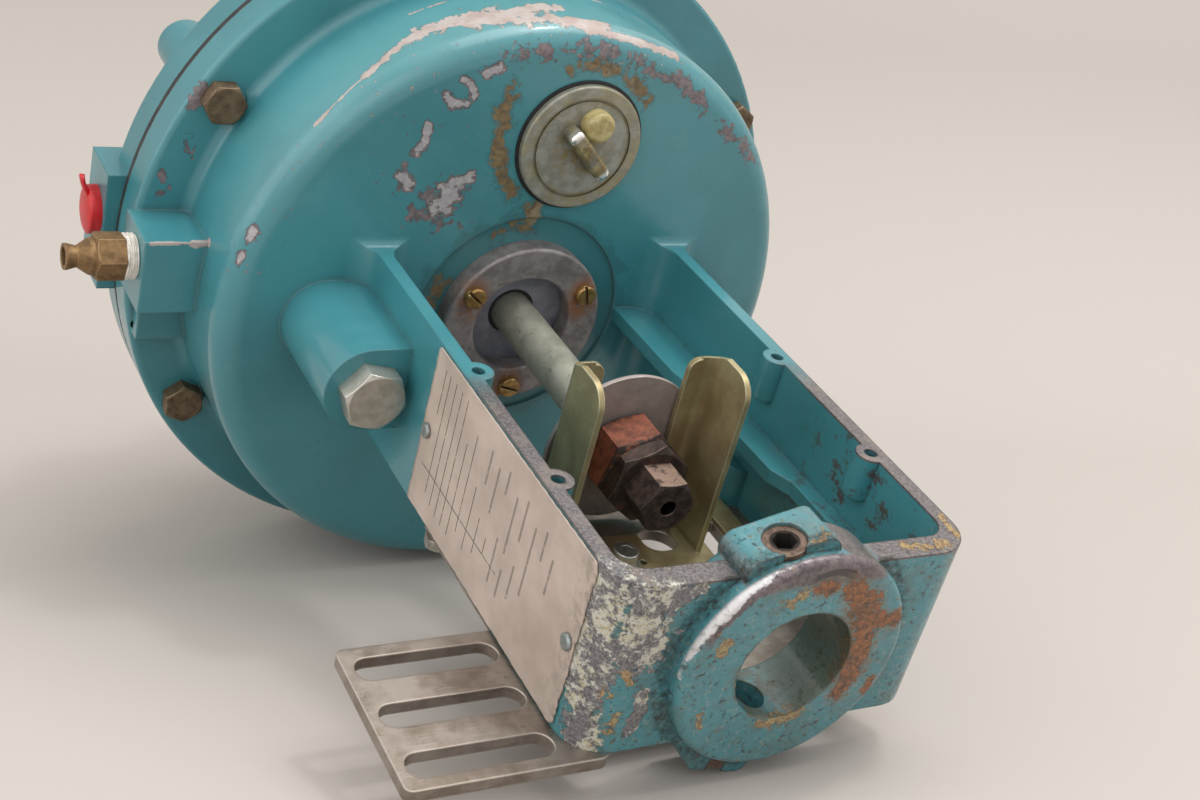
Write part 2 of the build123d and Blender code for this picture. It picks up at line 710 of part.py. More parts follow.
def fork_washer():
    """Plain washer under the cap screw."""
    y1 = BRACKET_FRONT_Y - FORK_SHEET
    disc = rod_y(6.0, y1 - 1.2, y1, FORK_SCREW_X, FORK_SCREW_Z)
    return disc - rod_y(FORK_SCREW_R, y1 - 2, y1 + 1, FORK_SCREW_X, FORK_SCREW_Z)


def fork_cap_screw():
    """Socket-head cap screw that holds the fork to the steel bracket."""
    top = BRACKET_FRONT_Y - FORK_SHEET - 1.2
    tip = BRACKET_FRONT_Y + BRACKET_THICKNESS + BRACKET_NUT_HEIGHT + 1.5
    head = rod_y(4.3, top - 5.0, top, FORK_SCREW_X, FORK_SCREW_Z)
    head = fillet(head.edges().sort_by(Axis.Y)[0], 0.6)
    socket = Rot(-90, 0, 0) * extrude(RegularPolygon(2.3, 6), 4.0)
    socket = Pos(FORK_SCREW_X, top - 6.0, FORK_SCREW_Z) * socket
    shank = rod_y(FORK_SCREW_R, top - 1.0, tip, FORK_SCREW_X, FORK_SCREW_Z)
    return head - socket + shank


def fork_nut():
    """Hex nut behind the steel bracket."""
    back = BRACKET_FRONT_Y + BRACKET_THICKNESS
    nut = Rot(90, 0, 0) * chamfered_hex(8.0, -BRACKET_NUT_HEIGHT, 0.0, 5.0)
    nut = Pos(FORK_SCREW_X, back, FORK_SCREW_Z) * nut
    return nut - rod_y(FORK_SCREW_R, back - 1, back + 6, FORK_SCREW_X, FORK_SCREW_Z)


# ---- spring adjuster ------------------------------------------------------
def spring_adjuster():
    """Threaded screw in the rear hub that presses on the upper spring seat."""
    screw = rod_z(8.0, SPRING_TOP_Z + 10, 366.0)
    return screw + chamfered_hex(13.0, 366.0, 374.0, 8.0, False, True)


def adjuster_nut():
    """Lock nut of the spring adjuster."""
    nut = chamfered_hex(24.0, ADJUSTER_HUB_TOP_Z, ADJUSTER_HUB_TOP_Z + 9.0, 20.0, False, True)
    return nut - rod_z(8.0, 350.0, 370.0)


def spring_seat():
    """Dished seat between the adjuster screw and the spring."""
    seat = turned(
        [
            (0, SPRING_TOP_Z + 4),
            (50.0, SPRING_TOP_Z + 4),
            (50.0, SPRING_TOP_Z),
            (40.0, SPRING_TOP_Z),
            (40.0, SPRING_TOP_Z - 4),
            (36.0, SPRING_TOP_Z - 4),
            (36.0, SPRING_TOP_Z),
            (0, SPRING_TOP_Z),
        ],
    )
    return seat + rod_z(14.0, SPRING_TOP_Z + 4, SPRING_TOP_Z + 10)


# ---- moving stem assembly --------------------------------------------------
def stem():
    """Ground stem with a tapped front end and a clamping shoulder."""
    body = rod_z(STEM_R, STEM_SHOULDER_Z, DIAPHRAGM_SHOULDER_Z)
    body -= rod_z(STEM_THREAD_R, STEM_SHOULDER_Z - 1, CONNECTOR_SHANK_Z)
    return body + rod_z(STEM_THREAD_R, DIAPHRAGM_SHOULDER_Z, 238.0)


def stem_connector():
    """Hexagonal end, tapped for the valve stem, with a threaded shank."""
    body = chamfered_hex(17.0, CONNECTOR_FRONT_Z, CONNECTOR_BACK_Z, 0.0, True, False)
    body += rod_z(STEM_THREAD_R, CONNECTOR_BACK_Z, CONNECTOR_SHANK_Z)
    return body - rod_z(VALVE_STEM_R, CONNECTOR_FRONT_Z - 1, CONNECTOR_FRONT_Z + 16)


def jam_nut():
    """Thin nut that locks the connector."""
    nut = chamfered_hex(25.0, CONNECTOR_BACK_Z, JAM_NUT_BACK_Z, -20.0, True, True)
    return nut - rod_z(STEM_THREAD_R, CONNECTOR_BACK_Z - 1, JAM_NUT_BACK_Z + 1)


def lock_nut():
    """Thick nut that clamps the travel disc against the stem shoulder."""
    nut = chamfered_hex(26.0, JAM_NUT_BACK_Z, LOCK_NUT_BACK_Z, -16.0, True, True)
    nut -= rod_z(STEM_THREAD_R, JAM_NUT_BACK_Z - 1, LOCK_NUT_BACK_Z + 1)
    return nut + ring_z(9.0, STEM_THREAD_R, LOCK_NUT_BACK_Z, DISC_FRONT_Z)


def travel_disc():
    """Thin disc whose edge shows the stem's travel."""
    return ring_z(DISC_R, STEM_THREAD_R, DISC_FRONT_Z, STEM_SHOULDER_Z)


def diaphragm_washer():
    """Front clamping washer of the diaphragm."""
    z0 = DIAPHRAGM_SHOULDER_Z
    return turned(
        [(STEM_THREAD_R, z0), (60.0, z0), (60.0, z0 + 4), (STEM_THREAD_R, z0 + 4)],
        rounds=((1, 2.5),),
    )


def diaphragm():
    """Moulded rubber diaphragm clamped between the two case flanges."""
    low = DIAPHRAGM_SHOULDER_Z + 4
    thick = DIAPHRAGM_BACK_Z - DIAPHRAGM_FRONT_Z
    body = turned(
        [
            (STEM_THREAD_R, low),
            (84.0, low),
            (92.0, DIAPHRAGM_FRONT_Z),
            (FLANGE_R, DIAPHRAGM_FRONT_Z),
            (FLANGE_R, DIAPHRAGM_BACK_Z),
            (89.5, DIAPHRAGM_BACK_Z),
            (81.8, low + thick),
            (STEM_THREAD_R, low + thick),
        ],
        rounds=((1, 4.0), (2, 3.0)),
    )
    for angle in CASE_BOLT_ANGLES:
        x, y = polar(CASE_BOLT_CIRCLE_R, angle)
        body -= rod_z(CASE_BOLT_R, DIAPHRAGM_FRONT_Z - 1, DIAPHRAGM_BACK_Z + 1, x, y)
    return body


def diaphragm_plate():
    """Dished plate that carries the spring and backs the diaphragm."""
    low = PLATE_FRONT_Z
    plate = turned(
        [
            (STEM_THREAD_R, low),
            (78.0, low),
            (78.0, low + 14),
            (75.0, low + 14),
            (75.0, low + 4),
            (STEM_THREAD_R, low + 4),
        ],
        rounds=((1, 4.0), (4, 2.0)),
    )
    return plate + ring_z(38.0, 34.0, low + 4, low + 8)


def stem_nut():
    """Nut that clamps plate, diaphragm and washer on the stem."""
    low = PLATE_FRONT_Z + 4
    nut = chamfered_hex(24.0, low, low + 10.0, 0.0, False, True)
    return nut - rod_z(STEM_THREAD_R, low - 1, low + 12)


def return_spring():
    """Coil spring that pushes the stem out of the case."""
    first_z = PLATE_FRONT_Z + 4 + SPRING_WIRE_R + 0.2
    last_z = SPRING_TOP_Z - SPRING_WIRE_R - 0.2
    path = Helix((last_z - first_z) / SPRING_TURNS, last_z - first_z, SPRING_COIL_R)
    start = Plane(origin=path @ 0, z_dir=path % 0)
    coil = sweep(start * Circle(SPRING_WIRE_R), path=path, is_frenet=True)
    coil = Pos(0, 0, first_z) * coil
    for z in (first_z, last_z):
        coil += Pos(0, 0, z) * Torus(SPRING_COIL_R, SPRING_WIRE_R)
    return coil


NODES = {
    "yoke_case": yoke_case,
    "rear_case": rear_case,
    "case_bolts": case_bolts,
    "side_boss_bolts": side_boss_bolts,
    "collar_set_screws": collar_set_screws,
    "seal_retainer": seal_retainer,
    "gland_screws": gland_screws,
    "stem_bushing": stem_bushing,
    "stem_wiper": stem_wiper,
    "stem_seal": stem_seal,
    "vent_plug": vent_plug,
    "vent_gasket": vent_gasket,
    "vent_button": vent_button,
    "air_fitting": air_fitting,
    "thread_tape": thread_tape,
    "port_plug": port_plug,
    "nameplate": nameplate,
    "nameplate_rivets": nameplate_rivets,
    "slotted_bracket": slotted_bracket,
    "bracket_screws": bracket_screws,
    "feedback_fork": feedback_fork,
    "fork_washer": fork_washer,
    "fork_cap_screw": fork_cap_screw,
    "fork_nut": fork_nut,
    "spring_adjuster": spring_adjuster,
    "adjuster_nut": adjuster_nut,
    "spring_seat": spring_seat,
    "stem": stem,
    "stem_connector": stem_connector,
    "jam_nut": jam_nut,
    "lock_nut": lock_nut,
    "travel_disc": travel_disc,
    "diaphragm_washer": diaphragm_washer,
    "diaphragm": diaphragm,
    "diaphragm_plate": diaphragm_plate,
    "stem_nut": stem_nut,
    "return_spring": return_spring,
}

for node, build in NODES.items():
    save(node, build())
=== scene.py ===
import math

import bmesh
import bpy
from mathutils import Matrix, Vector


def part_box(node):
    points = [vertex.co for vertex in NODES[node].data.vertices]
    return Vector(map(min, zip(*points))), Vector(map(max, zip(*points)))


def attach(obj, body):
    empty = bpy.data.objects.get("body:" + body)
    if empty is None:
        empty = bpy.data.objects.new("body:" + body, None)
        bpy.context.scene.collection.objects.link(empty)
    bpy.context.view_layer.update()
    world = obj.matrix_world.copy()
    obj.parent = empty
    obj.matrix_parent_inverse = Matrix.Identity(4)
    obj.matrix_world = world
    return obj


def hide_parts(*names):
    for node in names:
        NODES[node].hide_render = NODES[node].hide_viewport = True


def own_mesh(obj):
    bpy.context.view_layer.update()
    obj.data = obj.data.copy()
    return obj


# Looks of the pneumatic diaphragm actuator. The row frame has +Z along the
# stem towards the diaphragm case and -Y out of the yoke's open side. Objects
# are in metres; materials work in millimetres of the row frame.

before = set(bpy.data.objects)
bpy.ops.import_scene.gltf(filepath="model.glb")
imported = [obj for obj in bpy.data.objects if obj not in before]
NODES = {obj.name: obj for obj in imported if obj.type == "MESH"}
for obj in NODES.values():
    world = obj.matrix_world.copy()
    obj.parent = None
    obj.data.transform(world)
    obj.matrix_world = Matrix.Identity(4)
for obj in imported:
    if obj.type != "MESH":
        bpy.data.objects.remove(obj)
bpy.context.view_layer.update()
MM = 0.001
YOKE_TOP_Z = 0.1895
FACE_Z = 190  # the drum's face, in millimetres

# ---- places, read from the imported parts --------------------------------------
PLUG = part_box("port_plug")
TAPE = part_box("thread_tape")
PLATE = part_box("nameplate")
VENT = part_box("vent_gasket")


# ---- material graph helper ---------------------------------------------------
class Graph:
    """A material's node graph, with positions in millimetres of the row frame."""

    def __init__(self, name):
        self.material = bpy.data.materials.new(name)
        self.material.use_nodes = True
        self.nodes = self.material.node_tree.nodes
        self.links = self.material.node_tree.links
        self.nodes.clear()
        output = self.nodes.new("ShaderNodeOutputMaterial")
        self.shader = self.nodes.new("ShaderNodeBsdfPrincipled")
        self.links.new(self.shader.outputs[0], output.inputs[0])
        place = self.nodes.new("ShaderNodeTexCoord")
        self.mm = self.vector("SCALE", place.outputs["Object"], scale=1 / MM)
        self.x, self.y, self.z = self.node("SeparateXYZ", {0: self.mm}).outputs
        self.soft_normal = None
        self.colour = None

    def feed(self, socket, value):
        """Link a socket or set a constant."""
        if isinstance(value, bpy.types.NodeSocket):
            self.links.new(value, socket)
        elif isinstance(value, tuple) and len(value) == 3 and len(socket.default_value) == 4:
            socket.default_value = (*value, 1.0)
        else:
            socket.default_value = value

    def node(self, kind, inputs, **settings):
        """A new node with its settings made and its inputs fed."""
        node = self.nodes.new("ShaderNode" + kind)
        for name, value in settings.items():
            setattr(node, name, value)
        for name, value in inputs.items():
            self.feed(node.inputs[name], value)
        return node

    def math(self, operation, a, b=0.0):
        """A number worked out from one or two others."""
        return self.node("Math", {0: a, 1: b}, operation=operation).outputs[0]

    def vector(self, operation, a, b=None, scale=None):
        """A vector, or its length or dot product, worked out from others."""
        inputs = {0: a}
        if b is not None:
            inputs[1] = b
        if scale is not None:
            inputs["Scale"] = scale
        node = self.node("VectorMath", inputs, operation=operation)
        return node.outputs["Value"] if operation in ("LENGTH", "DOT_PRODUCT") else node.outputs[0]

    def point(self, x, y, z):
        """A vector from its three parts."""
        return self.node("CombineXYZ", {0: x, 1: y, 2: z}).outputs[0]

    def noise(self, size, detail, roughness, at=None, shift=0.0):
        """Noise from 0 to 1 whose features are about size millimetres."""
        inputs = {"Scale": 1.0 / size, "Detail": detail, "Roughness": roughness}
        node = self.node("TexNoise", inputs)
        place = self.mm if at is None else at
        if shift:
            place = self.vector("ADD", place, (shift, shift * 0.7, -shift))
        self.feed(node.inputs["Vector"], place)
        return node.outputs[0]

    def step(self, value, low, high):
        """Smooth step from 0 at low to 1 at high; falls when low is above high."""
        rise = float(low < high)
        source = {"Value": value, "From Min": min(low, high), "From Max": max(low, high)}
        target = {"To Min": 1.0 - rise, "To Max": rise}
        return self.node("MapRange", source | target, interpolation_type="SMOOTHSTEP").outputs[0]

    def patches(self, low, high, size, detail, roughness, shift=0.0):
        """Noise as patches: 0 below low, 1 above high."""
        return self.step(self.noise(size, detail, roughness, shift=shift), low, high)

    def between(self, value, low, high, soft):
        """1 from low to high, with edges that are soft to each side."""
        rise = self.step(value, low - soft, low + soft)
        fall = self.step(value, high + soft, high - soft)
        return self.both(rise, fall)

    def both(self, a, b):
        """Where two masks meet, or a mask weakened by a number."""
        return self.math("MULTIPLY", a, b)

    def either(self, *masks):
        """Where any of the masks is."""
        result = masks[0]
        for mask in masks[1:]:
            result = self.math("MAXIMUM", result, mask)
        return result

    def plus(self, a, b):
        """The sum of two values."""
        return self.math("ADD", a, b)

    def minus(self, a, b):
        """One value less another."""
        return self.math("SUBTRACT", a, b)

    def inverse(self, a):
        """Where a mask isn't."""
        return self.minus(1.0, a)

    def wander(self, value, noise, reach):
        """A value that wanders by a share of reach, as noise does about its middle."""
        return self.plus(value, self.both(self.minus(noise, 0.5), reach))

    def relief(self, a, share_a, b, share_b):
        """A height made of two noises."""
        return self.plus(self.both(a, share_a), self.both(b, share_b))

    def near(self, centre, inner, outer, stretch=(1.0, 1.0, 1.0)):
        """1 within inner millimetres of a point, 0 beyond outer."""
        offset = self.vector("SUBTRACT", self.mm, centre)
        offset = self.vector("MULTIPLY", offset, stretch)
        return self.step(self.vector("LENGTH", offset), outer, inner)

    def radius(self, cx=0.0, cy=0.0):
        """Distance from an axis parallel to Z."""
        flat = self.point(self.minus(self.x, cx), self.minus(self.y, cy), 0.0)
        return self.vector("LENGTH", flat)

    def degrees(self):
        """Angle about the stem, -180 to 180."""
        return self.both(self.math("ARCTAN2", self.y, self.x), 180 / math.pi)

    def normal_part(self, axis):
        """The rest-frame normal's part along one axis."""
        normal = self.nodes.new("ShaderNodeTexCoord").outputs["Normal"]
        return self.node("SeparateXYZ", {0: normal}).outputs[axis]

    def soften(self, width):
        """Round the shading of edges by width; bumps and edges() start from this."""
        self.soft_normal = self.node("Bevel", {"Radius": width * MM}, samples=6).outputs[0]

    def edges(self):
        """1 on convex and concave edges, 0 on flats."""
        plain = self.nodes.new("ShaderNodeNewGeometry").outputs["Normal"]
        return self.step(self.vector("DOT_PRODUCT", self.soft_normal, plain), 0.995, 0.88)

    def occlusion_shade(self, reach):
        """1 in narrow recesses, found by ambient occlusion, 0 on open faces; darkening with it paints shade.
        """
        inputs = {"Distance": reach * MM}
        occlusion = self.node("AmbientOcclusion", inputs, samples=6, only_local=True)
        return self.step(occlusion.outputs["AO"], 0.75, 0.2)

    def line_distance(self, points):
        """Millimetres to a line through fixed points."""
        nearest = None
        for a, b in zip(points, points[1:]):
            run = Vector(b) - Vector(a)
            offset = self.vector("SUBTRACT", self.mm, tuple(a))
            share = self.vector("DOT_PRODUCT", offset, tuple(run / run.length_squared))
            share = self.math("MAXIMUM", self.math("MINIMUM", share, 1.0), 0.0)
            along = self.vector("SCALE", tuple(run), scale=share)
            away = self.vector("LENGTH", self.vector("SUBTRACT", offset, along))
            nearest = away if nearest is None else self.math("MINIMUM", nearest, away)
        return nearest

    def mix(self, factor, a, b):
        """Colour a where factor is 0, b where it is 1."""
        return self.node("Mix", {0: factor, 6: a, 7: b}, data_type="RGBA").outputs[2]

    def tint(self, mask, tone, strength=1.0):
        """Lay a tone over the colour so far where the mask is."""
        if strength < 1.0:
            mask = self.both(mask, strength)
        self.colour = self.mix(mask, self.colour, tone)

    def blend(self, factor, a, b):
        """Number a where factor is 0, b where it is 1."""
        return self.node("Mix", {0: factor, 2: a, 3: b}, data_type="FLOAT").outputs[0]

    def bump(self, height, depth, below=None):
        """Normal from a height of 0 to 1 that stands for depth millimetres."""
        inputs = {"Strength": 1.0, "Distance": depth * MM, "Height": height}
        if below is not None or self.soft_normal is not None:
            inputs["Normal"] = self.soft_normal if below is None else below
        return self.node("Bump", inputs).outputs[0]

    def finish(self, roughness, metallic=0.0, normal=None, coat=0.0):
        """Set the shader and return the material."""
        self.feed(self.shader.inputs["Base Color"], self.colour)
        self.feed(self.shader.inputs["Roughness"], roughness)
        self.feed(self.shader.inputs["Metallic"], metallic)
        if normal is not None:
            self.feed(self.shader.inputs["Normal"], normal)
        if coat:
            self.shader.inputs["Coat Weight"].default_value = coat
            self.shader.inputs["Coat Roughness"].default_value = 0.12
        return self.material


# ---- colours, linear ----------------------------------------------------------
TEAL = (0.045, 0.218, 0.255)
# pale teal, for faded paint and for painted light on the drum's shoulder
TEAL_FADED_AND_LIT = (0.12, 0.32, 0.34)
TEAL_DEEP = (0.036, 0.18, 0.21)
RUST_DARK = (0.075, 0.03, 0.016)
# dark tone for grime and pits, and for painted shade in recesses
GRIME_AND_SHADE = (0.022, 0.022, 0.018)
GREASE = (0.068, 0.062, 0.03)
DEEP_STAIN = (0.024, 0.07, 0.076)


# ---- weathered paint: marks drawn as strokes through measured places -------------
def on_drum(angle, z, radius=108.5):
    """Point on the drum at an angle about the stem."""
    turn = math.radians(angle)
    return (radius * math.cos(turn), radius * math.sin(turn), z)


def on_face(z, *strokes):
    """Strokes on a face square to the stem, each a width and the places it passes."""
    return [(width, *((x, y, z) for x, y in places)) for width, *places in strokes]


SCRAPES = (
    (0.7, on_drum(-141, 197), on_drum(-134, 199), on_drum(-127, 202)),
    (1.8, on_drum(-129, 201), on_drum(-120, 207), on_drum(-113, 209)),
    (3.6, on_drum(-117, 208), on_drum(-110, 208), on_drum(-103, 206)),
    (6.4, on_drum(-107, 206), on_drum(-100, 203)),
    (2.8, on_drum(-100, 207), on_drum(-91, 208)),
    (3.2, on_drum(-101, 200), on_drum(-92, 198), on_drum(-85, 196)),
    (1.5, on_drum(-88, 193.5, 107), on_drum(-78, 193, 107), on_drum(-68, 194, 107)),
    (0.55, on_drum(-116, 222), on_drum(-104, 222.6), on_drum(-92, 223)),
    (0.55, on_drum(-92, 223), on_drum(-80, 223), on_drum(-66, 223.4)),
    (0.8, (-126, -17.5, 213.6), (-118, -17.5, 213.4), (-112, -17.5, 213.6)),
    (1.5, (-112, -17.5, 213.6), (-107, -17.5, 213.6)),
)
GREY_CHIPS = (
    *on_face(
        FACE_Z,
        (4, (-36, -49.5), (-37.5, -44.5)),
        (1.8, (-36, -52), (-30.5, -54)),
        (1.5, (-49, -72.5), (-48.4, -67), (-50.5, -63)),
        (1.3, (-44.5, -83.5), (-42, -80.6), (-37, -80.8)),
        (1.2, (-35, -84), (-36.5, -87.5), (-39.5, -89)),
        (1.8, (-54, -55), (-51, -51.5)),
        (1.6, (-28, -93.5), (-32, -91.5)),
    ),
    (1.5, on_drum(-163.5, 192, 106.6), on_drum(-161.5, 192, 106.6)),
    (1.2, on_drum(-168.5, 192, 106.6), on_drum(-166.5, 192, 106.6)),
)
MAUVE_CHIPS = (
    *on_face(
        FACE_Z,
        (3.4, (-47.5, -40.5), (-42, -40), (-38, -38)),
        (2.2, (-46, -48), (-41, -46.5)),
        (1.8, (-33, -37.5), (-29.5, -36.5)),
        (1.8, (-54, -58.5), (-55, -51)),
    ),
    (3.6, on_drum(-104, 190.6, 101.5), on_drum(-93, 190.6, 101.5), on_drum(-83, 190.6, 101.5)),
    (2.6, on_drum(-78, 190.6, 101), on_drum(-66, 190.6, 101), on_drum(-56, 190.6, 99)),
    (2.4, on_drum(-52, 190.6, 99), on_drum(-42, 191.5, 102), on_drum(-36, 192.5, 103.5)),
    *on_face(
        236.4,
        (2.6, (-111.3, -43), (-109.5, -38)),
        (1.7, (-118, -31.5), (-115.5, -26), (-117.5, -22)),
        (1.8, (-108.5, -62.5), (-110.5, -55)),
    ),
    *on_face(183, (1.5, (58, -29), (58.5, -26.5))),
)
OCHRE_STAINS_DRUM = on_face(
    FACE_Z,
    (2.9, (-20.5, -86), (-23.5, -79), (-21.5, -73)),
    (3, (-21, -70), (-21, -61), (-17.5, -54), (-13, -48.5)),
    (2.2, (-2, -95.5), (8, -96.5), (18, -93.5), (27, -87.5), (30.5, -83)),
    (3.6, (-3, -43), (-2.5, -37.5), (-7, -36)),
    (2.4, (-8.5, -34), (-15, -32)),
    (3.2, (-31.5, -14), (-33.5, -8.5), (-33.5, -2)),
)
OCHRE_STAINS_COLLAR = (
    *on_face(
        0,
        (2.6, (-4, 21), (3, 20.6), (8, 18.6)),
        (2, (-10, -23.5), (-5, -27)),
        (2, (-27.5, -9), (-26, -12)),
        (1.6, (-27, 14), (-26, 17.5)),
    ),
    (1.8, (-15, -38.5, 3), (-8, -40.5, 2.5)),
    (2, (-4, -41, 4), (1, -41, 7)),
    (1.5, (-18.5, -38, 7), (-18.5, -38, 15)),
    *on_face(
        6.5,
        (2.6, (-58, 6.5), (-55, 8.5)),
        (1.7, (-50.5, 1), (-48, 3.5)),
        (1.6, (-49.5, 15), (-50, 21)),
    ),
    (1.9, (36, -29.1, 11.5), (44, -29.1, 9.5), (51, -29.1, 11)),
    (1.5, (57, -29.1, 14), (58, -29.1, 22)),
)
RUST_MARKS = on_face(
    0,
    (3.6, (11, -26), (16.7, -19.5)),
    (5, (16.7, -19.5), (20.8, -11.5)),
    (3, (24, -12.5), (31.7, -12.5)),
    (4.2, (21, -11), (22.3, -2), (21.9, 7)),
    (3, (21.9, 7), (20.7, 13.5)),
    (2.2, (-1, -27.5), (3.5, -27.3)),
    (1.6, (31, 10.5), (31, 14.5)),
)
CRUST_MARKS = (
    *on_face(
        6.5,
        (9.5, (-50, -15), (-48.5, -8)),
        (5.5, (-57, -26), (-44, -25)),
        (2.6, (-40, -25.5), (-35, -27)),
    ),
    *on_face(9, (6.5, (-59, -4), (-60, 6), (-60, 16), (-56, 26))),
    *on_face(14, (8.5, (-60, -27), (-60, -8), (-60, 10))),
    *on_face(6.5, (2.4, (-43.5, 8), (-42, 14), (-44, 22))),
)


def marks(g, strokes, ragged, amount):
    """Distance to the nearest stroke in stroke widths, wandering with the ragged noise."""
    nearest = None
    for width, *points in strokes:
        away = g.math("DIVIDE", g.line_distance(points), width)
        nearest = away if nearest is None else g.math("MINIMUM", nearest, away)
    return g.wander(nearest, ragged, amount)


def paint_layers(g):
    """Sets the colour of sound teal paint and gives its roughness and height."""
    broad = g.noise(60, 3, 0.5)
    g.colour = g.mix(g.step(broad, 0.35, 0.65), TEAL_DEEP, TEAL)
    haze = g.both(g.patches(0.5, 0.72, 14, 6, 0.66, shift=31), 0.13)
    g.tint(haze, TEAL_FADED_AND_LIT)
    roughness = g.blend(g.patches(0.3, 0.7, 16, 5, 0.6, shift=9), 0.27, 0.4)
    coarse = g.both(g.noise(3.5, 3, 0.5), 0.8)
    height = g.plus(coarse, g.both(g.noise(0.6, 2, 0.5), 0.2))
    return roughness, height


def drum_paint():
    """Teal drum and flange with a scraped shoulder, chips and stains."""
    g = Graph("paint_drum")
    g.soften(1.3)
    edge = g.edges()
    roughness, height = paint_layers(g)
    radius = g.radius()
    turn = g.degrees()
    ragged = g.noise(5.0, 8, 0.72)
    coarse = g.noise(11, 7, 0.68, shift=5)
    speckle = g.noise(2.2, 6, 0.7, shift=17)

    # upper shoulder lightened in patches: painted light, with faded paint
    lit = g.both(g.between(turn, -150, -50, 22), g.between(g.z, 192, 226, 8))
    g.tint(g.both(lit, g.blend(coarse, 0.3, 0.62)), TEAL_FADED_AND_LIT)
    g.tint(edge, TEAL_FADED_AND_LIT, 0.45)

    # dark halo and ochre stains round the vent and the stem
    gaps = g.both(g.patches(0.48, 0.36, 7, 5, 0.6, shift=48), 1.1)
    ochre_reach = g.plus(marks(g, OCHRE_STAINS_DRUM, ragged, 6.5), gaps)
    g.tint(g.step(ochre_reach, 1.7, 0.9), DEEP_STAIN, 0.45)
    halo_reach = g.wander(radius, coarse, 26)
    halo = g.both(g.step(halo_reach, 44, 41), g.step(g.z, 196, 192))
    g.tint(halo, DEEP_STAIN, 0.34)
    ochre_tone = g.mix(g.step(speckle, 0.36, 0.62), (0.22, 0.142, 0.052), (0.11, 0.074, 0.038))
    ochre_tone = g.mix(g.both(g.step(coarse, 0.5, 0.62), 0.6), ochre_tone, (0.33, 0.26, 0.16))
    ochre = g.step(ochre_reach, 1.0, 0.62)

    # marks through the paint: mauve edges, grey middles, pink scrapes
    grey_reach = marks(g, GREY_CHIPS, ragged, 6.2)
    mauve_reach = g.plus(marks(g, MAUVE_CHIPS, ragged, 7.5), gaps)
    mauve = g.either(g.step(mauve_reach, 0.85, 0.6), g.step(grey_reach, 1.55, 1.25))
    face_chips = g.both(g.near((-44, -56, FACE_Z), 12, 38), g.step(g.z, 200, 194))
    mauve = g.either(mauve, g.both(face_chips, g.patches(0.635, 0.66, 3.6, 6, 0.7, shift=71)))
    grey = g.step(grey_reach, 0.95, 0.75)
    scrape = g.step(marks(g, SCRAPES, ragged, 4.6), 1.1, 0.9)
    drum_edge = g.both(g.between(radius, 98, 109, 2), g.between(g.z, 188, 198, 1.5))
    drum_edge = g.both(drum_edge, g.between(turn, -172, -30, 6))
    nicks = g.both(drum_edge, g.patches(0.62, 0.65, 2.6, 6, 0.72, shift=64))
    scrape = g.either(scrape, nicks, g.both(edge, g.step(ragged, 0.66, 0.7)))
    pink = g.mix(g.step(coarse, 0.4, 0.6), (0.34, 0.265, 0.24), (0.4, 0.36, 0.34))
    mauve_tone = g.mix(g.step(speckle, 0.38, 0.62), (0.1, 0.086, 0.095), (0.2, 0.16, 0.168))
    grey_tone = g.mix(g.step(speckle, 0.35, 0.65), (0.28, 0.275, 0.295), (0.4, 0.385, 0.4))
    g.tint(mauve, mauve_tone)
    g.tint(scrape, pink)
    g.tint(grey, grey_tone)
    g.tint(ochre, ochre_tone, 0.92)
    # dark grime in patches over recesses: painted shade from ambient occlusion
    grime_and_shade = g.both(g.occlusion_shade(6), g.step(coarse, 0.22, 0.5))
    g.tint(grime_and_shade, GRIME_AND_SHADE, 0.82)

    removed = g.either(scrape, grey, mauve)
    roughness = g.blend(removed, roughness, 0.62)
    roughness = g.blend(g.either(ochre, grime_and_shade), roughness, 0.88)
    relief = g.plus(g.both(g.inverse(removed), 0.16), g.both(height, 0.035))
    return g.finish(roughness, 0.0, g.bump(relief, 1.0), coat=0.42)


def rim_wear(g, coarse, ragged, edge):
    """Bare metal along the open side's rim and on the collar pad."""
    low_end = g.step(g.plus(g.z, g.both(coarse, 30)), 128, 108)
    pad = g.both(g.step(g.math("ABSOLUTE", g.x), 25, 21), g.step(g.z, 24, 20))
    rim = g.both(g.both(g.step(g.y, -28.2, -28.7), g.inverse(pad)), low_end)
    corner = g.both(g.both(edge, low_end), g.step(ragged, 0.42, 0.5))
    corner = g.both(corner, g.step(g.y, -12, -22))
    reach = g.wander(g.x, coarse, 22)
    right_half = g.both(g.both(pad, g.step(g.y, -29, -31)), g.step(reach, 6, 9))
    lip = g.both(g.both(pad, g.step(g.y, -27, -30)), g.step(g.plus(g.z, g.both(ragged, 4)), 5.2, 3.6))
    return g.either(rim, corner, right_half, lip)


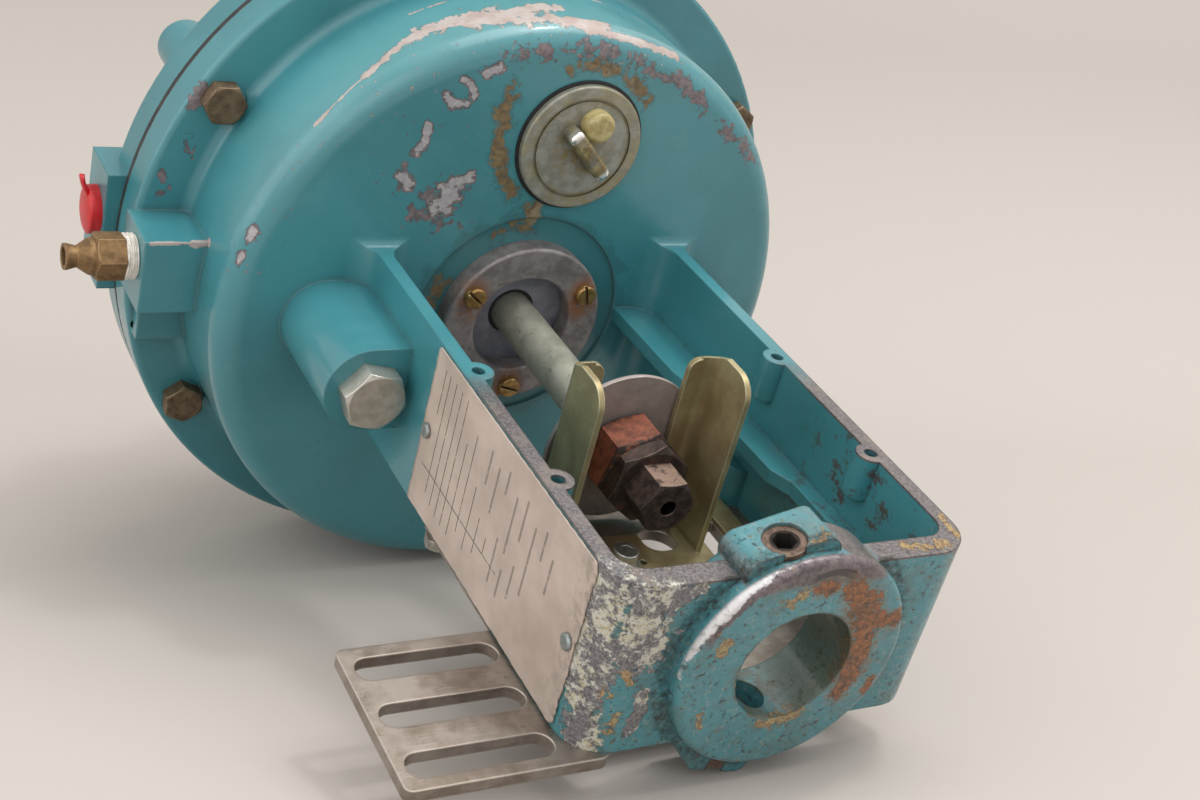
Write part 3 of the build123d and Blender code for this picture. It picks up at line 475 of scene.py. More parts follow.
def yoke_paint():
    """Teal yoke with a bare rim and a pitted, corroded collar end."""
    g = Graph("paint_yoke")
    g.soften(0.9)
    edge = g.edges()
    roughness, height = paint_layers(g)
    radius = g.radius()
    turn = g.degrees()
    ragged = g.noise(5.0, 8, 0.72)
    coarse = g.noise(11, 7, 0.68, shift=5)
    speckle = g.noise(2.2, 6, 0.7, shift=17)
    fine = g.noise(0.9, 4, 0.65, shift=29)
    collar_end = g.step(g.z, 30, 14)
    ring_face = g.step(g.z, 1.2, 0.5)
    g.tint(ring_face, (0.085, 0.235, 0.26), 0.25)

    # dark pits and stains, thick near the collar
    pit_level = g.blend(collar_end, 0.78, 0.595)
    pits = g.step(g.minus(speckle, pit_level), 0.0, 0.03)
    g.tint(pits, g.mix(g.step(coarse, 0.46, 0.54), GRIME_AND_SHADE, RUST_DARK), 0.8)
    dust = g.both(g.both(collar_end, g.patches(0.54, 0.64, 1.6, 6, 0.75, shift=33)), 0.55)
    g.tint(dust, (0.3, 0.3, 0.26))
    dull = g.both(g.both(collar_end, g.step(coarse, 0.45, 0.62)), 0.55)
    g.tint(dull, (0.075, 0.12, 0.11))
    right_wall = g.both(g.step(g.x, 45, 54), g.step(g.z, 112, 60))
    blots = g.both(right_wall, g.patches(0.535, 0.6, 8, 7, 0.74, shift=55))
    g.tint(blots, RUST_DARK, 0.8)

    # bare rim, white crust on the left corner
    rim = rim_wear(g, coarse, ragged, edge)
    rim_tone = g.mix(g.step(fine, 0.35, 0.65), (0.085, 0.078, 0.082), (0.19, 0.175, 0.178))
    rim_tone = g.mix(g.both(g.step(coarse, 0.5, 0.62), 0.55), rim_tone, (0.24, 0.2, 0.175))
    rim_tone = g.mix(g.both(edge, 0.6), rim_tone, (0.05, 0.045, 0.045))
    g.tint(rim, rim_tone)
    crust_reach = marks(g, CRUST_MARKS, coarse, 2.4)
    crust = g.step(g.wander(crust_reach, speckle, 2.2), 1.0, 0.86)
    crust = g.both(crust, g.step(g.z, 26, 20))
    grains = g.noise(2.4, 6, 0.7, shift=13)
    white = g.step(g.wander(grains, coarse, 0.95), 0.48, 0.6)
    crust_grey = g.mix(g.step(fine, 0.4, 0.6), (0.095, 0.092, 0.097), (0.19, 0.183, 0.187))
    crust_tone = g.mix(white, crust_grey, (0.48, 0.475, 0.42))
    yellow = g.both(g.step(coarse, 0.48, 0.6), g.step(fine, 0.48, 0.58))
    g.tint(crust, g.mix(g.both(yellow, 0.7), crust_tone, (0.42, 0.37, 0.19)))

    # ring face: a bare worn arc painted bright as a highlight, with a mauve band inside it, and a recess
    reach = g.wander(radius, ragged, 5)
    front = g.step(g.z, 3.5, 2.0)
    taper = g.both(g.math("ABSOLUTE", g.plus(turn, 146)), 0.055)
    bare_highlight_arc = g.both(g.step(g.minus(reach, taper), 34.9, 35.5), front)
    band_arc = g.both(g.both(g.between(turn, -160, -58, 6), g.step(reach, 33.0, 33.9)), front)
    band_tone = g.mix(g.step(speckle, 0.4, 0.6), (0.2, 0.165, 0.175), (0.115, 0.095, 0.105))
    g.tint(band_arc, band_tone)
    g.tint(bare_highlight_arc, (0.62, 0.62, 0.63))
    crescent = g.between(g.radius(3.0, -19.0), 12.4, 14.6, 0.35)
    crescent = g.both(g.both(crescent, g.step(g.math("ABSOLUTE", g.minus(g.x, 3.0)), 7.5, 6.0)), ring_face)
    crescent = g.both(crescent, g.step(g.y, -24, -27))
    g.tint(crescent, (0.05, 0.04, 0.045), 0.85)

    # rust and ochre
    ochre = g.step(marks(g, OCHRE_STAINS_COLLAR, speckle, 6.0), 0.95, 0.65)
    ochre = g.either(ochre, g.both(collar_end, g.patches(0.615, 0.66, 3.6, 7, 0.75, shift=52)))
    ochre_tone = g.mix(g.step(fine, 0.4, 0.6), (0.2, 0.105, 0.035), (0.4, 0.29, 0.12))
    g.tint(ochre, ochre_tone, 0.85)
    rust_reach = marks(g, RUST_MARKS, g.relief(ragged, 0.5, speckle, 0.5), 6.5)
    rust = g.step(rust_reach, 1.05, 0.85)
    stain = g.both(g.step(rust_reach, 1.9, 1.0), 0.6)
    g.tint(stain, (0.17, 0.12, 0.07))
    rust_tone = g.mix(g.step(speckle, 0.36, 0.6), (0.27, 0.1, 0.038), (0.105, 0.055, 0.032))
    rust_tone = g.mix(g.both(g.step(fine, 0.55, 0.64), 0.6), rust_tone, (0.36, 0.21, 0.085))
    g.tint(rust, rust_tone)

    # dirt and painted shade in the seat of the ring and in recesses, grease in the bore
    inside = g.both(g.step(radius, 19.6, 19.0), g.step(g.z, 26, 20))
    greased = g.either(g.step(coarse, 0.4, 0.55), g.step(g.x, -4, 10))
    g.tint(g.both(inside, greased), GREASE, 0.75)
    crusty = g.both(g.both(inside, g.step(g.x, 2, -6)), g.step(speckle, 0.52, 0.62))
    g.tint(crusty, (0.27, 0.26, 0.2), 0.6)
    # the seat band and the occlusion mask darken in speckled patches: grime, and painted shade where the ring
    # meets the wall
    seat = g.both(g.between(radius, 36.8, 41.5, 1.2), g.between(g.z, 4.2, 8.0, 1.0))
    grime_and_shade = g.both(g.either(g.occlusion_shade(5), seat), g.step(speckle, 0.34, 0.56))
    g.tint(grime_and_shade, GRIME_AND_SHADE, 0.62)

    bare = g.either(rim, bare_highlight_arc, band_arc)
    rusty = g.either(rust, ochre, crust)
    roughness = g.blend(bare, roughness, 0.46)
    roughness = g.blend(g.either(rusty, grime_and_shade), roughness, 0.88)
    metallic = g.both(bare, g.both(g.inverse(rusty), 0.65))
    cast = g.both(g.noise(1.5, 5, 0.72, shift=19), g.blend(collar_end, 0.02, 0.34))
    relief = g.plus(g.both(rusty, 0.15), g.plus(cast, g.both(height, 0.035)))
    relief = g.minus(relief, g.both(g.either(pits, g.both(crescent, 5.0)), 0.2))
    return g.finish(roughness, metallic, g.bump(relief, 1.0), coat=0.42)


def rear_paint():
    """Teal rear case, less worn, with a few chips on its rim."""
    g = Graph("paint_rear_case")
    g.soften(1.3)
    edge = g.edges()
    roughness, height = paint_layers(g)
    worn = g.both(edge, g.patches(0.6, 0.64, 7, 7, 0.72, shift=23))
    scattered = g.patches(0.7, 0.73, 5, 7, 0.7, shift=60)
    bare = g.either(worn, scattered)
    # patchy grime over recesses: painted shade from ambient occlusion
    grime_and_shade = g.both(g.occlusion_shade(6), g.patches(0.25, 0.6, 8, 5, 0.6, shift=66))
    tone = g.mix(g.patches(0.42, 0.62, 5, 5, 0.7, shift=2), (0.44, 0.33, 0.3), (0.3, 0.23, 0.24))
    g.tint(bare, tone)
    g.tint(grime_and_shade, GRIME_AND_SHADE, 0.8)
    roughness = g.blend(bare, roughness, 0.6)
    normal = g.bump(height, 0.035)
    normal = g.bump(g.inverse(bare), 0.16, normal)
    return g.finish(roughness, 0.0, normal, coat=0.3)


# ---- metals ---------------------------------------------------------------------
def worn_metal(
    name, base, dark, bright, grain=0.8, roughness=0.42, metallic=0.9, depth=0.06, stain=None, stain_level=0.6
):
    """Plated or plain metal with mottling, bright edges, painted shade in recesses and stains."""
    g = Graph(name)
    mottle = g.noise(grain * 6, 6, 0.68)
    fine = g.noise(grain, 4, 0.6, shift=11)
    g.colour = g.mix(g.step(mottle, 0.35, 0.65), dark, base)
    if stain is not None:
        spots = g.step(g.noise(grain * 9, 7, 0.72, shift=37), stain_level, stain_level + 0.09)
        g.tint(spots, stain)
    g.soften(0.5)
    edge = g.both(g.edges(), g.patches(0.35, 0.5, grain * 5, 4, 0.6, shift=5))
    g.tint(edge, bright, 0.85)
    # recesses darkened by ambient occlusion: painted shade
    recess_shade = g.occlusion_shade(2.5)
    g.tint(recess_shade, (0.02, 0.018, 0.014), 0.7)
    rough = g.blend(g.step(mottle, 0.3, 0.7), roughness + 0.16, roughness)
    rough = g.blend(g.both(edge, 0.6), rough, roughness * 0.7)
    normal = g.bump(g.relief(mottle, 0.5, fine, 0.5), depth)
    return g.finish(rough, metallic, normal)


def rusty_nut():
    """Orange-red rust with darker scale on the chamfers."""
    g = Graph("rusted_lock_nut")
    scale = g.noise(4.0, 7, 0.72)
    fine = g.noise(0.8, 5, 0.7, shift=8)
    g.colour = g.mix(g.step(scale, 0.36, 0.62), (0.26, 0.082, 0.044), (0.12, 0.038, 0.023))
    g.tint(g.step(fine, 0.55, 0.7), (0.34, 0.145, 0.085), 0.35)
    ends = g.either(g.step(g.z, 94.2, 93.0), g.step(g.z, 104.6, 105.6))
    g.tint(g.both(ends, g.patches(0.35, 0.55, 3, 4, 0.6, shift=4)), (0.03, 0.018, 0.015))
    normal = g.bump(g.relief(scale, 0.6, fine, 0.4), 0.28)
    return g.finish(g.blend(scale, 0.72, 0.55), 0.25, normal)


def set_screw_metal():
    """Brown corroded ring round a socket painted in as dark shade."""
    g = Graph("set_screw_rusty")
    g.soften(0.6)
    scale = g.noise(3.0, 6, 0.7)
    g.colour = g.mix(g.step(scale, 0.38, 0.62), (0.16, 0.11, 0.08), (0.07, 0.042, 0.03))
    bright = g.both(g.edges(), g.step(scale, 0.4, 0.52))
    g.tint(bright, (0.34, 0.27, 0.21), 0.7)
    away = None
    for angle in (-105, 105):
        turn = math.radians(angle)
        across = g.minus(g.both(g.y, math.cos(turn)), g.both(g.x, math.sin(turn)))
        reach = g.vector("LENGTH", g.point(across, g.minus(g.z, 10.0), 0.0))
        away = reach if away is None else g.math("MINIMUM", away, reach)
    # the socket's hollow is painted near-black as shade, with a dip in the bump
    socket_shade = g.step(g.plus(away, g.both(scale, 1.4)), 5.0, 4.4)
    g.tint(socket_shade, (0.012, 0.008, 0.006))
    height = g.minus(g.both(scale, 0.18), g.both(socket_shade, 0.8))
    return g.finish(g.blend(socket_shade, 0.5, 0.9), g.both(g.inverse(socket_shade), 0.5), g.bump(height, 1.0))


def connector_metal():
    """Dark oxide hexagon whose flat facing -Y is lighter brown, partly worn and partly painted light."""
    g = Graph("stem_connector_oxide")
    scale = g.noise(3.0, 6, 0.7)
    g.colour = g.mix(g.step(scale, 0.38, 0.62), (0.085, 0.055, 0.048), (0.028, 0.02, 0.02))
    # the flat facing -Y, towards the lamps, lightened in patches: wear, and painted light
    worn = g.both(g.step(g.normal_part(1), -0.5, -0.85), g.patches(0.35, 0.5, 5, 5, 0.65, shift=3))
    g.tint(worn, (0.3, 0.205, 0.16), 0.9)
    g.soften(0.5)
    edge = g.both(g.edges(), g.step(scale, 0.4, 0.55))
    g.tint(edge, (0.3, 0.22, 0.18), 0.5)
    # the bore is painted near-black as shade
    bore = g.both(g.step(g.radius(), 3.4, 3.0), g.step(g.z, 74.2, 74.6))
    g.tint(bore, (0.006, 0.005, 0.005))
    normal = g.bump(scale, 0.14)
    return g.finish(g.blend(worn, 0.62, 0.45), 0.55, normal)


def vent_metal():
    """Dull cream-grey zinc with a stained groove, painted shade in its recesses and a thumb bar whose bright
    ends are painted highlights.
    """
    g = Graph("vent_plug_zinc")
    centre = (VENT[0] + VENT[1]) / 2 / MM
    mottle = g.noise(5, 6, 0.7)
    fine = g.noise(0.9, 4, 0.65, shift=5)
    g.colour = g.mix(g.step(mottle, 0.38, 0.64), (0.245, 0.245, 0.205), (0.345, 0.352, 0.32))
    radius = g.radius(centre.x, centre.y)
    groove = g.between(radius, 16.6, 18.8, 0.8)
    stain = g.patches(0.42, 0.58, 7, 6, 0.72, shift=8)
    g.tint(g.both(groove, g.blend(stain, 0.25, 0.75)), (0.24, 0.2, 0.09))
    middle = g.both(g.step(radius, 15, 5), g.patches(0.44, 0.56, 4, 6, 0.7, shift=33))
    g.tint(middle, (0.27, 0.2, 0.07), 0.8)
    rim = g.both(g.between(radius, 18.6, 22.6, 0.6), stain)
    g.tint(rim, (0.34, 0.29, 0.15), 0.55)
    bar = g.step(g.z, 186.4, 185.4)
    offset = g.minus(g.plus(g.x, g.y), centre.x + centre.y)
    reach = g.math("MULTIPLY", g.math("ABSOLUTE", offset), 0.7071)
    # the bar's near-white ends are painted highlights
    ends = g.both(g.both(bar, g.step(reach, 7.6, 9.6)), g.step(g.z, 184.0, 181.0))
    g.tint(g.both(bar, g.step(mottle, 0.5, 0.6)), (0.42, 0.36, 0.2))
    g.tint(ends, (0.93, 0.92, 0.88))
    # recesses darkened by ambient occlusion: painted shade
    recess_shade = g.occlusion_shade(2.0)
    g.tint(recess_shade, (0.06, 0.05, 0.02), 0.75)
    roughness = g.blend(ends, g.blend(mottle, 0.62, 0.44), 0.14)
    metallic = g.blend(bar, 0.55, 0.95)
    normal = g.bump(g.relief(mottle, 0.5, fine, 0.5), 0.07)
    return g.finish(roughness, metallic, normal)


def retainer_metal():
    """Grey-mauve casting with rust-brown runs from its brass screws."""
    g = Graph("seal_retainer_grey")
    mottle = g.noise(6, 6, 0.7)
    fine = g.noise(0.8, 4, 0.6, shift=5)
    # grey-mauve tones, darkened to paint the shade that falls over the retainer
    g.colour = g.mix(g.step(mottle, 0.36, 0.64), (0.19, 0.172, 0.172), (0.31, 0.29, 0.29))
    runs = None
    for angle, strength in ((-30, 1.0), (-150, 0.8), (90, 0.9)):
        x = 25 * math.cos(math.radians(angle))
        y = 25 * math.sin(math.radians(angle))
        spot = g.both(g.near((x, y + 2.0, 184), 3.5, 9.5, (1.15, 0.8, 1.0)), strength)
        runs = spot if runs is None else g.either(runs, spot)
    runs = g.both(runs, g.patches(0.32, 0.52, 4, 6, 0.7, shift=21))
    g.tint(runs, (0.24, 0.1, 0.04))
    g.soften(0.8)
    edge = g.both(g.edges(), g.patches(0.4, 0.5, 5, 5, 0.6, shift=2))
    g.tint(edge, (0.55, 0.52, 0.5), 0.5)
    # recesses darkened by ambient occlusion: painted shade
    g.tint(g.occlusion_shade(2.5), (0.03, 0.028, 0.03), 0.6)
    normal = g.bump(g.relief(mottle, 0.4, fine, 0.6), 0.09)
    return g.finish(g.blend(runs, 0.5, 0.8), g.blend(runs, 0.55, 0.1), normal)


def stem_metal():
    """Ground stem with a greenish grease film and faint turning marks."""
    g = Graph("stem_ground_steel")
    rings = g.noise(0.35, 2, 0.5, at=g.point(g.both(g.x, 0.04), g.both(g.y, 0.04), g.z))
    film = g.noise(9, 5, 0.6)
    g.colour = g.mix(g.step(film, 0.35, 0.65), (0.31, 0.31, 0.255), (0.44, 0.43, 0.36))
    g.tint(g.patches(0.6, 0.68, 2.4, 6, 0.7, shift=3), (0.13, 0.1, 0.06), 0.7)
    normal = g.bump(rings, 0.02)
    return g.finish(g.blend(film, 0.36, 0.54), 0.45, normal)


def zinc_yellow(name, base, dull):
    """Yellow chromate zinc on sheet steel, brighter at its cut edges."""
    g = Graph(name)
    cloud = g.noise(14, 5, 0.62)
    streak = g.noise(1.1, 4, 0.6, at=g.point(g.x, g.both(g.y, 0.12), g.z))
    g.colour = g.mix(g.step(cloud, 0.35, 0.66), dull, base)
    g.tint(g.patches(0.46, 0.62, 22, 3, 0.5, shift=9), (0.36, 0.24, 0.14), 0.55)
    g.soften(0.6)
    edge = g.edges()
    g.tint(edge, (0.66, 0.66, 0.47), 0.8)
    spots = g.patches(0.63, 0.68, 1.6, 6, 0.75, shift=51)
    g.tint(spots, (0.16, 0.11, 0.05), 0.6)
    # recesses darkened by ambient occlusion: painted shade
    g.tint(g.occlusion_shade(5), (0.07, 0.055, 0.02), 0.5)
    normal = g.bump(g.relief(streak, 0.5, cloud, 0.5), 0.03)
    return g.finish(g.blend(cloud, 0.36, 0.5), 0.62, normal)


def bracket_metal():
    """Worn grey-brown steel plate, polished at its edges."""
    g = Graph("slotted_bracket_steel")
    cloud = g.noise(16, 6, 0.66)
    scratch = g.noise(0.9, 5, 0.65, at=g.point(g.both(g.x, 0.08), g.y, g.z))
    g.colour = g.mix(g.step(cloud, 0.36, 0.64), (0.2, 0.165, 0.135), (0.34, 0.3, 0.265))
    g.tint(g.step(scratch, 0.55, 0.7), (0.46, 0.42, 0.38), 0.35)
    g.soften(0.9)
    edge = g.edges()
    g.tint(edge, (0.58, 0.52, 0.46), 0.85)
    rust = g.patches(0.62, 0.68, 5, 7, 0.72, shift=15)
    g.tint(rust, (0.12, 0.065, 0.035), 0.65)
    normal = g.bump(g.relief(cloud, 0.4, scratch, 0.6), 0.05)
    return g.finish(g.blend(cloud, 0.36, 0.52), 0.8, normal)


# ---- plastics, rubber, tape --------------------------------------------------------
def soft_material(name, base, shade, roughness, grain=1.0, depth=0.04, metallic=0.0, sheen=0.0):
    """Plastic or rubber with slight mottling and dirt."""
    g = Graph(name)
    mottle = g.noise(grain * 5, 5, 0.6)
    fine = g.noise(grain * 0.6, 3, 0.6, shift=7)
    g.colour = g.mix(g.step(mottle, 0.35, 0.65), shade, base)
    normal = g.bump(g.relief(mottle, 0.5, fine, 0.5), depth)
    material = g.finish(g.blend(mottle, roughness, roughness + 0.12), metallic, normal)
    if sheen:
        g.shader.inputs["Sheen Weight"].default_value = sheen
    return material


def nameplate_finish():
    """Satin beige-pink plate with ruled lines and blank fields, no lettering."""
    g = Graph("nameplate_ruled")
    low, high = PLATE[0] / MM, PLATE[1] / MM
    cloud = g.noise(20, 5, 0.6)
    brushed = g.noise(0.7, 3, 0.6, at=g.point(g.x, g.y, g.both(g.z, 0.06)))
    g.colour = g.mix(g.step(cloud, 0.35, 0.66), (0.45, 0.375, 0.325), (0.55, 0.465, 0.405))
    top = high.z
    rules = (
        (7.0, -24, -8), (10.5, -24, 19), (15.0, -24, 21), (19.5, -24, 22), (24.0, -24, 22), (29.0, -12, 22),
        (34.0, -18, 17), (40.0, -4, 19), (46.0, 3, 16), (52.0, 6, 12),
    )
    blanks = (
        (44.0, -20, -8), (50.0, -18, -2), (56.0, -21, -13), (58.0, 1, 17), (63.0, -17, 3), (64.0, 8, 18),
        (69.0, -20, -6), (70.0, 2, 14), (76.0, -16, 8), (82.0, -19, -9), (88.0, -14, -2),
    )

    def bar(y0, y1, z0, z1):
        return g.both(g.between(g.y, y0, y1, 0.08), g.between(g.z, z0, z1, 0.08))

    ink = bar(11.6, 12.0, top - 62, top - 4)
    for down, y0, y1 in rules:
        ink = g.either(ink, bar(y0, y1, top - down - 0.42, top - down))
    for down, y0, y1 in blanks:
        ink = g.either(ink, g.both(bar(y0, y1, top - down - 1.1, top - down), 0.55))
    ink = g.both(ink, g.patches(0.34, 0.44, 2.2, 5, 0.7, shift=4))
    g.tint(ink, (0.03, 0.026, 0.024), 0.92)
    scratches = g.step(g.noise(1.6, 7, 0.75, at=g.point(g.x, g.both(g.y, 0.3), g.z), shift=60), 0.66, 0.72)
    g.tint(scratches, (0.25, 0.22, 0.2), 0.4)
    end_dirt = g.both(g.step(g.z, low.z + 14, low.z), g.patches(0.45, 0.62, 4, 6, 0.7, shift=9))
    g.tint(end_dirt, (0.16, 0.14, 0.12), 0.45)
    normal = g.bump(brushed, 0.012)
    normal = g.bump(g.noise(28, 2, 0.5, shift=3), 0.5, normal)
    return g.finish(0.42, 0.3, normal)


# ---- pieces whose real shape is finer than the CAD's ----------------------------------
def show(name, data, material, replaced):
    """Show a mesh in place of a CAD solid, as a piece that rides on the case."""
    data.materials.clear()
    data.materials.append(material)
    piece = bpy.data.objects.new(name, data)
    bpy.context.scene.collection.objects.link(piece)
    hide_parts(replaced)
    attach(piece, "case")
    return piece


def make_piece(name, mesh, material, replaced):
    """Turn a bmesh in millimetres into a shown piece."""
    bmesh.ops.recalc_face_normals(mesh, faces=mesh.faces)
    bmesh.ops.scale(mesh, vec=(MM, MM, MM), verts=mesh.verts)
    data = bpy.data.meshes.new(name)
    mesh.to_mesh(data)
    mesh.free()
    for face in data.polygons:
        face.use_smooth = True
    show(name, data, material, replaced)


def grid_mesh(rows):
    """A bmesh of quads through rows of points."""
    mesh = bmesh.new()
    lines = []
    for row in rows:
        lines.append([mesh.verts.new(point) for point in row])
    for first, second in zip(lines, lines[1:]):
        for index in range(len(first) - 1):
            mesh.faces.new((first[index], first[index + 1], second[index + 1], second[index]))
    return mesh


def ripple(position, seed):
    """A smooth irregular wave between -1 and 1."""
    total = math.sin(position * 0.23 + seed) + math.sin(position * 0.61 + seed * 2.1)
    return (total + math.sin(position * 1.37 + seed * 3.7)) / 3


def make_nameplate():
    """Thin sheet plate with a rippled collar end, close to the wall's rim."""
    low, high = PLATE[0] / MM, PLATE[1] / MM
    y0, y1 = low.y - 1.7, high.y
    corner = 2.6
    thickness = 0.55
    columns = 72
    rows = 90

    def corner_dip(y):
        near_side = min(y - y0, y1 - y)
        if near_side >= corner:
            return 0.0
        return corner - math.sqrt(max(corner * corner - (corner - near_side) ** 2, 0.0))

    grid = []
    for row in range(rows + 1):
        share = row / rows
        points = []
        for column in range(columns + 1):
            spread = 0.5 - 0.5 * math.cos(math.pi * column / columns)
            y = y0 + (y1 - y0) * spread
            z0 = low.z + 0.4 + corner_dip(y) + 0.55 * ripple(y * 1.6, 1.0)
            z1 = high.z - corner_dip(y) * 0.4
            z = z0 + (z1 - z0) * share
            rim = min(y - y0, y1 - y, z - z0, z1 - z)
            lift = 0.16 * (1 + ripple(y + z, 4.0)) * math.exp(-rim / 3.0)
            points.append((low.x + 0.3 - lift, y, z))
        grid.append(points)
    mesh = grid_mesh(grid)
    bmesh.ops.recalc_face_normals(mesh, faces=mesh.faces)
    bmesh.ops.solidify(mesh, geom=mesh.faces[:] + mesh.edges[:] + mesh.verts[:], thickness=thickness)
    make_piece("nameplate_sheet", mesh, nameplate_finish(), "nameplate")


def ring_rows(low, high, radius_at, steps, turns=72):
    """Rows of points of a ring about an axis along X through the middle of a box."""
    middle = (low + high) / 2
    rows = []
    for step in range(steps + 1):
        x, radius = radius_at(step / steps)
        row = []
        for turn in range(turns + 1):
            angle = 2 * math.pi * turn / turns
            wobble = radius + 0.1 * math.sin(angle * 3 + step) if radius > 7.0 else radius
            row.append((x, middle.y + wobble * math.cos(angle), middle.z + wobble * math.sin(angle)))
        rows.append(row)
    return rows


def make_tape():
    """White thread tape wound in overlapping turns."""
    low, high = TAPE[0] / MM, TAPE[1] / MM
    outer = (high.y - low.y) / 2
    core = 6.8
    layers = 5.0
    swell = 0.55

    def profile(share):
        x = low.x + (high.x - low.x) * share
        if share <= 0.0 or share >= 1.0:
            return x, core
        layer = (share * layers) % 1.0
        return x, outer - swell + swell * math.sqrt(abs(math.sin(math.pi * layer)))

    mesh = grid_mesh(ring_rows(low, high, profile, 50))
    bmesh.ops.remove_doubles(mesh, verts=mesh.verts, dist=0.001)
    tape = soft_material(
        "tape_white", (0.74, 0.71, 0.66), (0.58, 0.54, 0.48), 0.6, grain=0.5, depth=0.08, sheen=0.2
    )
    make_piece("wound_tape", mesh, tape, "thread_tape")


def make_plug():
    """Red plastic plug with a bent pull tab."""
    low, high = PLUG[0] / MM, PLUG[1] / MM
    outer = (high.y - low.y) / 2

    def profile(share):
        turn = math.pi * share
        x = high.x - (high.x - low.x) * (0.5 - 0.5 * math.cos(turn))
        return x, outer * min(1.0, 1.6 * math.sin(turn) ** 0.7)

    mesh = grid_mesh(ring_rows(low, high, profile, 28, 48))
    middle = (low + high) / 2
    tab = []
    tab_steps = 12
    tab_sides = 16
    for step in range(tab_steps + 1):
        share = step / tab_steps
        bend = math.radians(70 * share)
        centre_x = low.x + 2.2 - 6.0 * math.sin(bend) * 0.6
        centre_y = middle.y - outer * 0.4 - 9.0 * share
        half = 3.4 - 1.2 * share
        row = []
        for corner in range(tab_sides + 1):
            angle = 2 * math.pi * corner / tab_sides
            row.append((centre_x + 0.9 * math.cos(angle), centre_y, middle.z + half * math.sin(angle)))
        tab.append(row)
    tip = [(point[0], point[1] - 0.7, middle.z + (point[2] - middle.z) * 0.3) for point in tab[-1]]
    extra = grid_mesh(tab + [tip])
    data = bpy.data.meshes.new("pull_tab")
    extra.to_mesh(data)
    extra.free()
    mesh.from_mesh(data)
    bpy.data.meshes.remove(data)
    bmesh.ops.remove_doubles(mesh, verts=mesh.verts, dist=0.001)
    bmesh.ops.holes_fill(mesh, edges=mesh.edges, sides=40)
    red = soft_material("plug_red", (0.52, 0.01, 0.016), (0.42, 0.007, 0.011), 0.3, depth=0.02)
    make_piece("red_plug", mesh, red, "port_plug")


def make_spring():
    """The coil spring, on its own copy of the CAD mesh."""
    spring = worn_metal("spring_steel", (0.18, 0.19, 0.2), (0.1, 0.1, 0.11), (0.4, 0.4, 0.42))
    piece = show("coil_spring", NODES["return_spring"].data.copy(), spring, "return_spring")
    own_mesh(piece)


make_nameplate()
make_tape()
make_plug()
make_spring()


# ---- assign finishes to the CAD pieces -----------------------------------------------
def dress(node, *materials):
    """Give a CAD node its material; a second one goes on the faces below the drum's face."""
    mesh = NODES[node].data
    mesh.materials.clear()
    for material in materials:
        mesh.materials.append(material)
    for face in mesh.polygons:
        below = min(mesh.vertices[index].co.z for index in face.vertices) < YOKE_TOP_Z
        face.material_index = len(materials) - 1 if below else 0


def greys(*levels):
    """Neutral tones of the given levels."""
    return [(level, level, level) for level in levels]


ADJUSTER_ZINC = ((0.34, 0.3, 0.22), (0.18, 0.15, 0.1), (0.55, 0.5, 0.4), {})
SEAL_RUBBER = ((0.012, 0.012, 0.013), (0.02, 0.02, 0.022), 0.6)
# node: base, dark and bright tones, and what differs from plain worn metal
WORN_METALS = {
    "case_bolts": (
        (0.21, 0.15, 0.092), (0.115, 0.08, 0.05), (0.34, 0.26, 0.18),
        dict(roughness=0.48, metallic=0.7, depth=0.12, stain=(0.09, 0.055, 0.03), stain_level=0.56),
    ),
    "side_boss_bolts": (
        (0.55, 0.545, 0.5), (0.4, 0.39, 0.34), (0.8, 0.79, 0.74),
        dict(roughness=0.34, metallic=0.85, depth=0.08, stain=(0.3, 0.26, 0.16), stain_level=0.64),
    ),
    "gland_screws": (
        (0.5, 0.33, 0.13), (0.27, 0.15, 0.06), (0.76, 0.58, 0.3),
        dict(grain=0.5, roughness=0.36, depth=0.05, stain=(0.2, 0.075, 0.03), stain_level=0.57),
    ),
    "air_fitting": (
        (0.27, 0.165, 0.075), (0.145, 0.085, 0.042), (0.46, 0.32, 0.17),
        dict(
            grain=0.7, roughness=0.48, metallic=0.7, depth=0.12, stain=(0.15, 0.16, 0.075), stain_level=0.58,
        ),
    ),
    "nameplate_rivets": (
        (0.36, 0.4, 0.4), (0.22, 0.25, 0.25), (0.6, 0.62, 0.6), dict(grain=0.4, roughness=0.4),
    ),
    "bracket_screws": ((0.42, 0.41, 0.37), (0.26, 0.25, 0.22), (0.7, 0.68, 0.62), dict(grain=0.5)),
    "fork_washer": ((0.58, 0.57, 0.53), (0.4, 0.39, 0.35), (0.8, 0.8, 0.76), dict(grain=0.5)),
    "fork_cap_screw": (
        (0.66, 0.66, 0.63), (0.45, 0.44, 0.41), (0.88, 0.88, 0.85), dict(grain=0.5, roughness=0.28),
    ),
    "fork_nut": ((0.55, 0.54, 0.5), (0.36, 0.35, 0.31), (0.8, 0.79, 0.74), dict(grain=0.5)),
    "spring_adjuster": ADJUSTER_ZINC,
    "adjuster_nut": ADJUSTER_ZINC,
    "spring_seat": (*greys(0.36, 0.24, 0.6), {}),
    "jam_nut": (
        (0.075, 0.05, 0.042), (0.032, 0.022, 0.02), (0.24, 0.17, 0.13),
        dict(roughness=0.5, metallic=0.6, depth=0.15, stain=(0.15, 0.05, 0.025), stain_level=0.56),
    ),
    "travel_disc": (
        (0.44, 0.385, 0.365), (0.33, 0.28, 0.26), (0.6, 0.55, 0.51),
        dict(grain=1.4, roughness=0.46, metallic=0.6, depth=0.05, stain=(0.18, 0.11, 0.07), stain_level=0.62),
    ),
    "diaphragm_washer": (*greys(0.4, 0.28, 0.65), {}),
    "diaphragm_plate": (*greys(0.5, 0.38, 0.7), {}),
    "stem_nut": (*greys(0.42, 0.3, 0.66), {}),
}
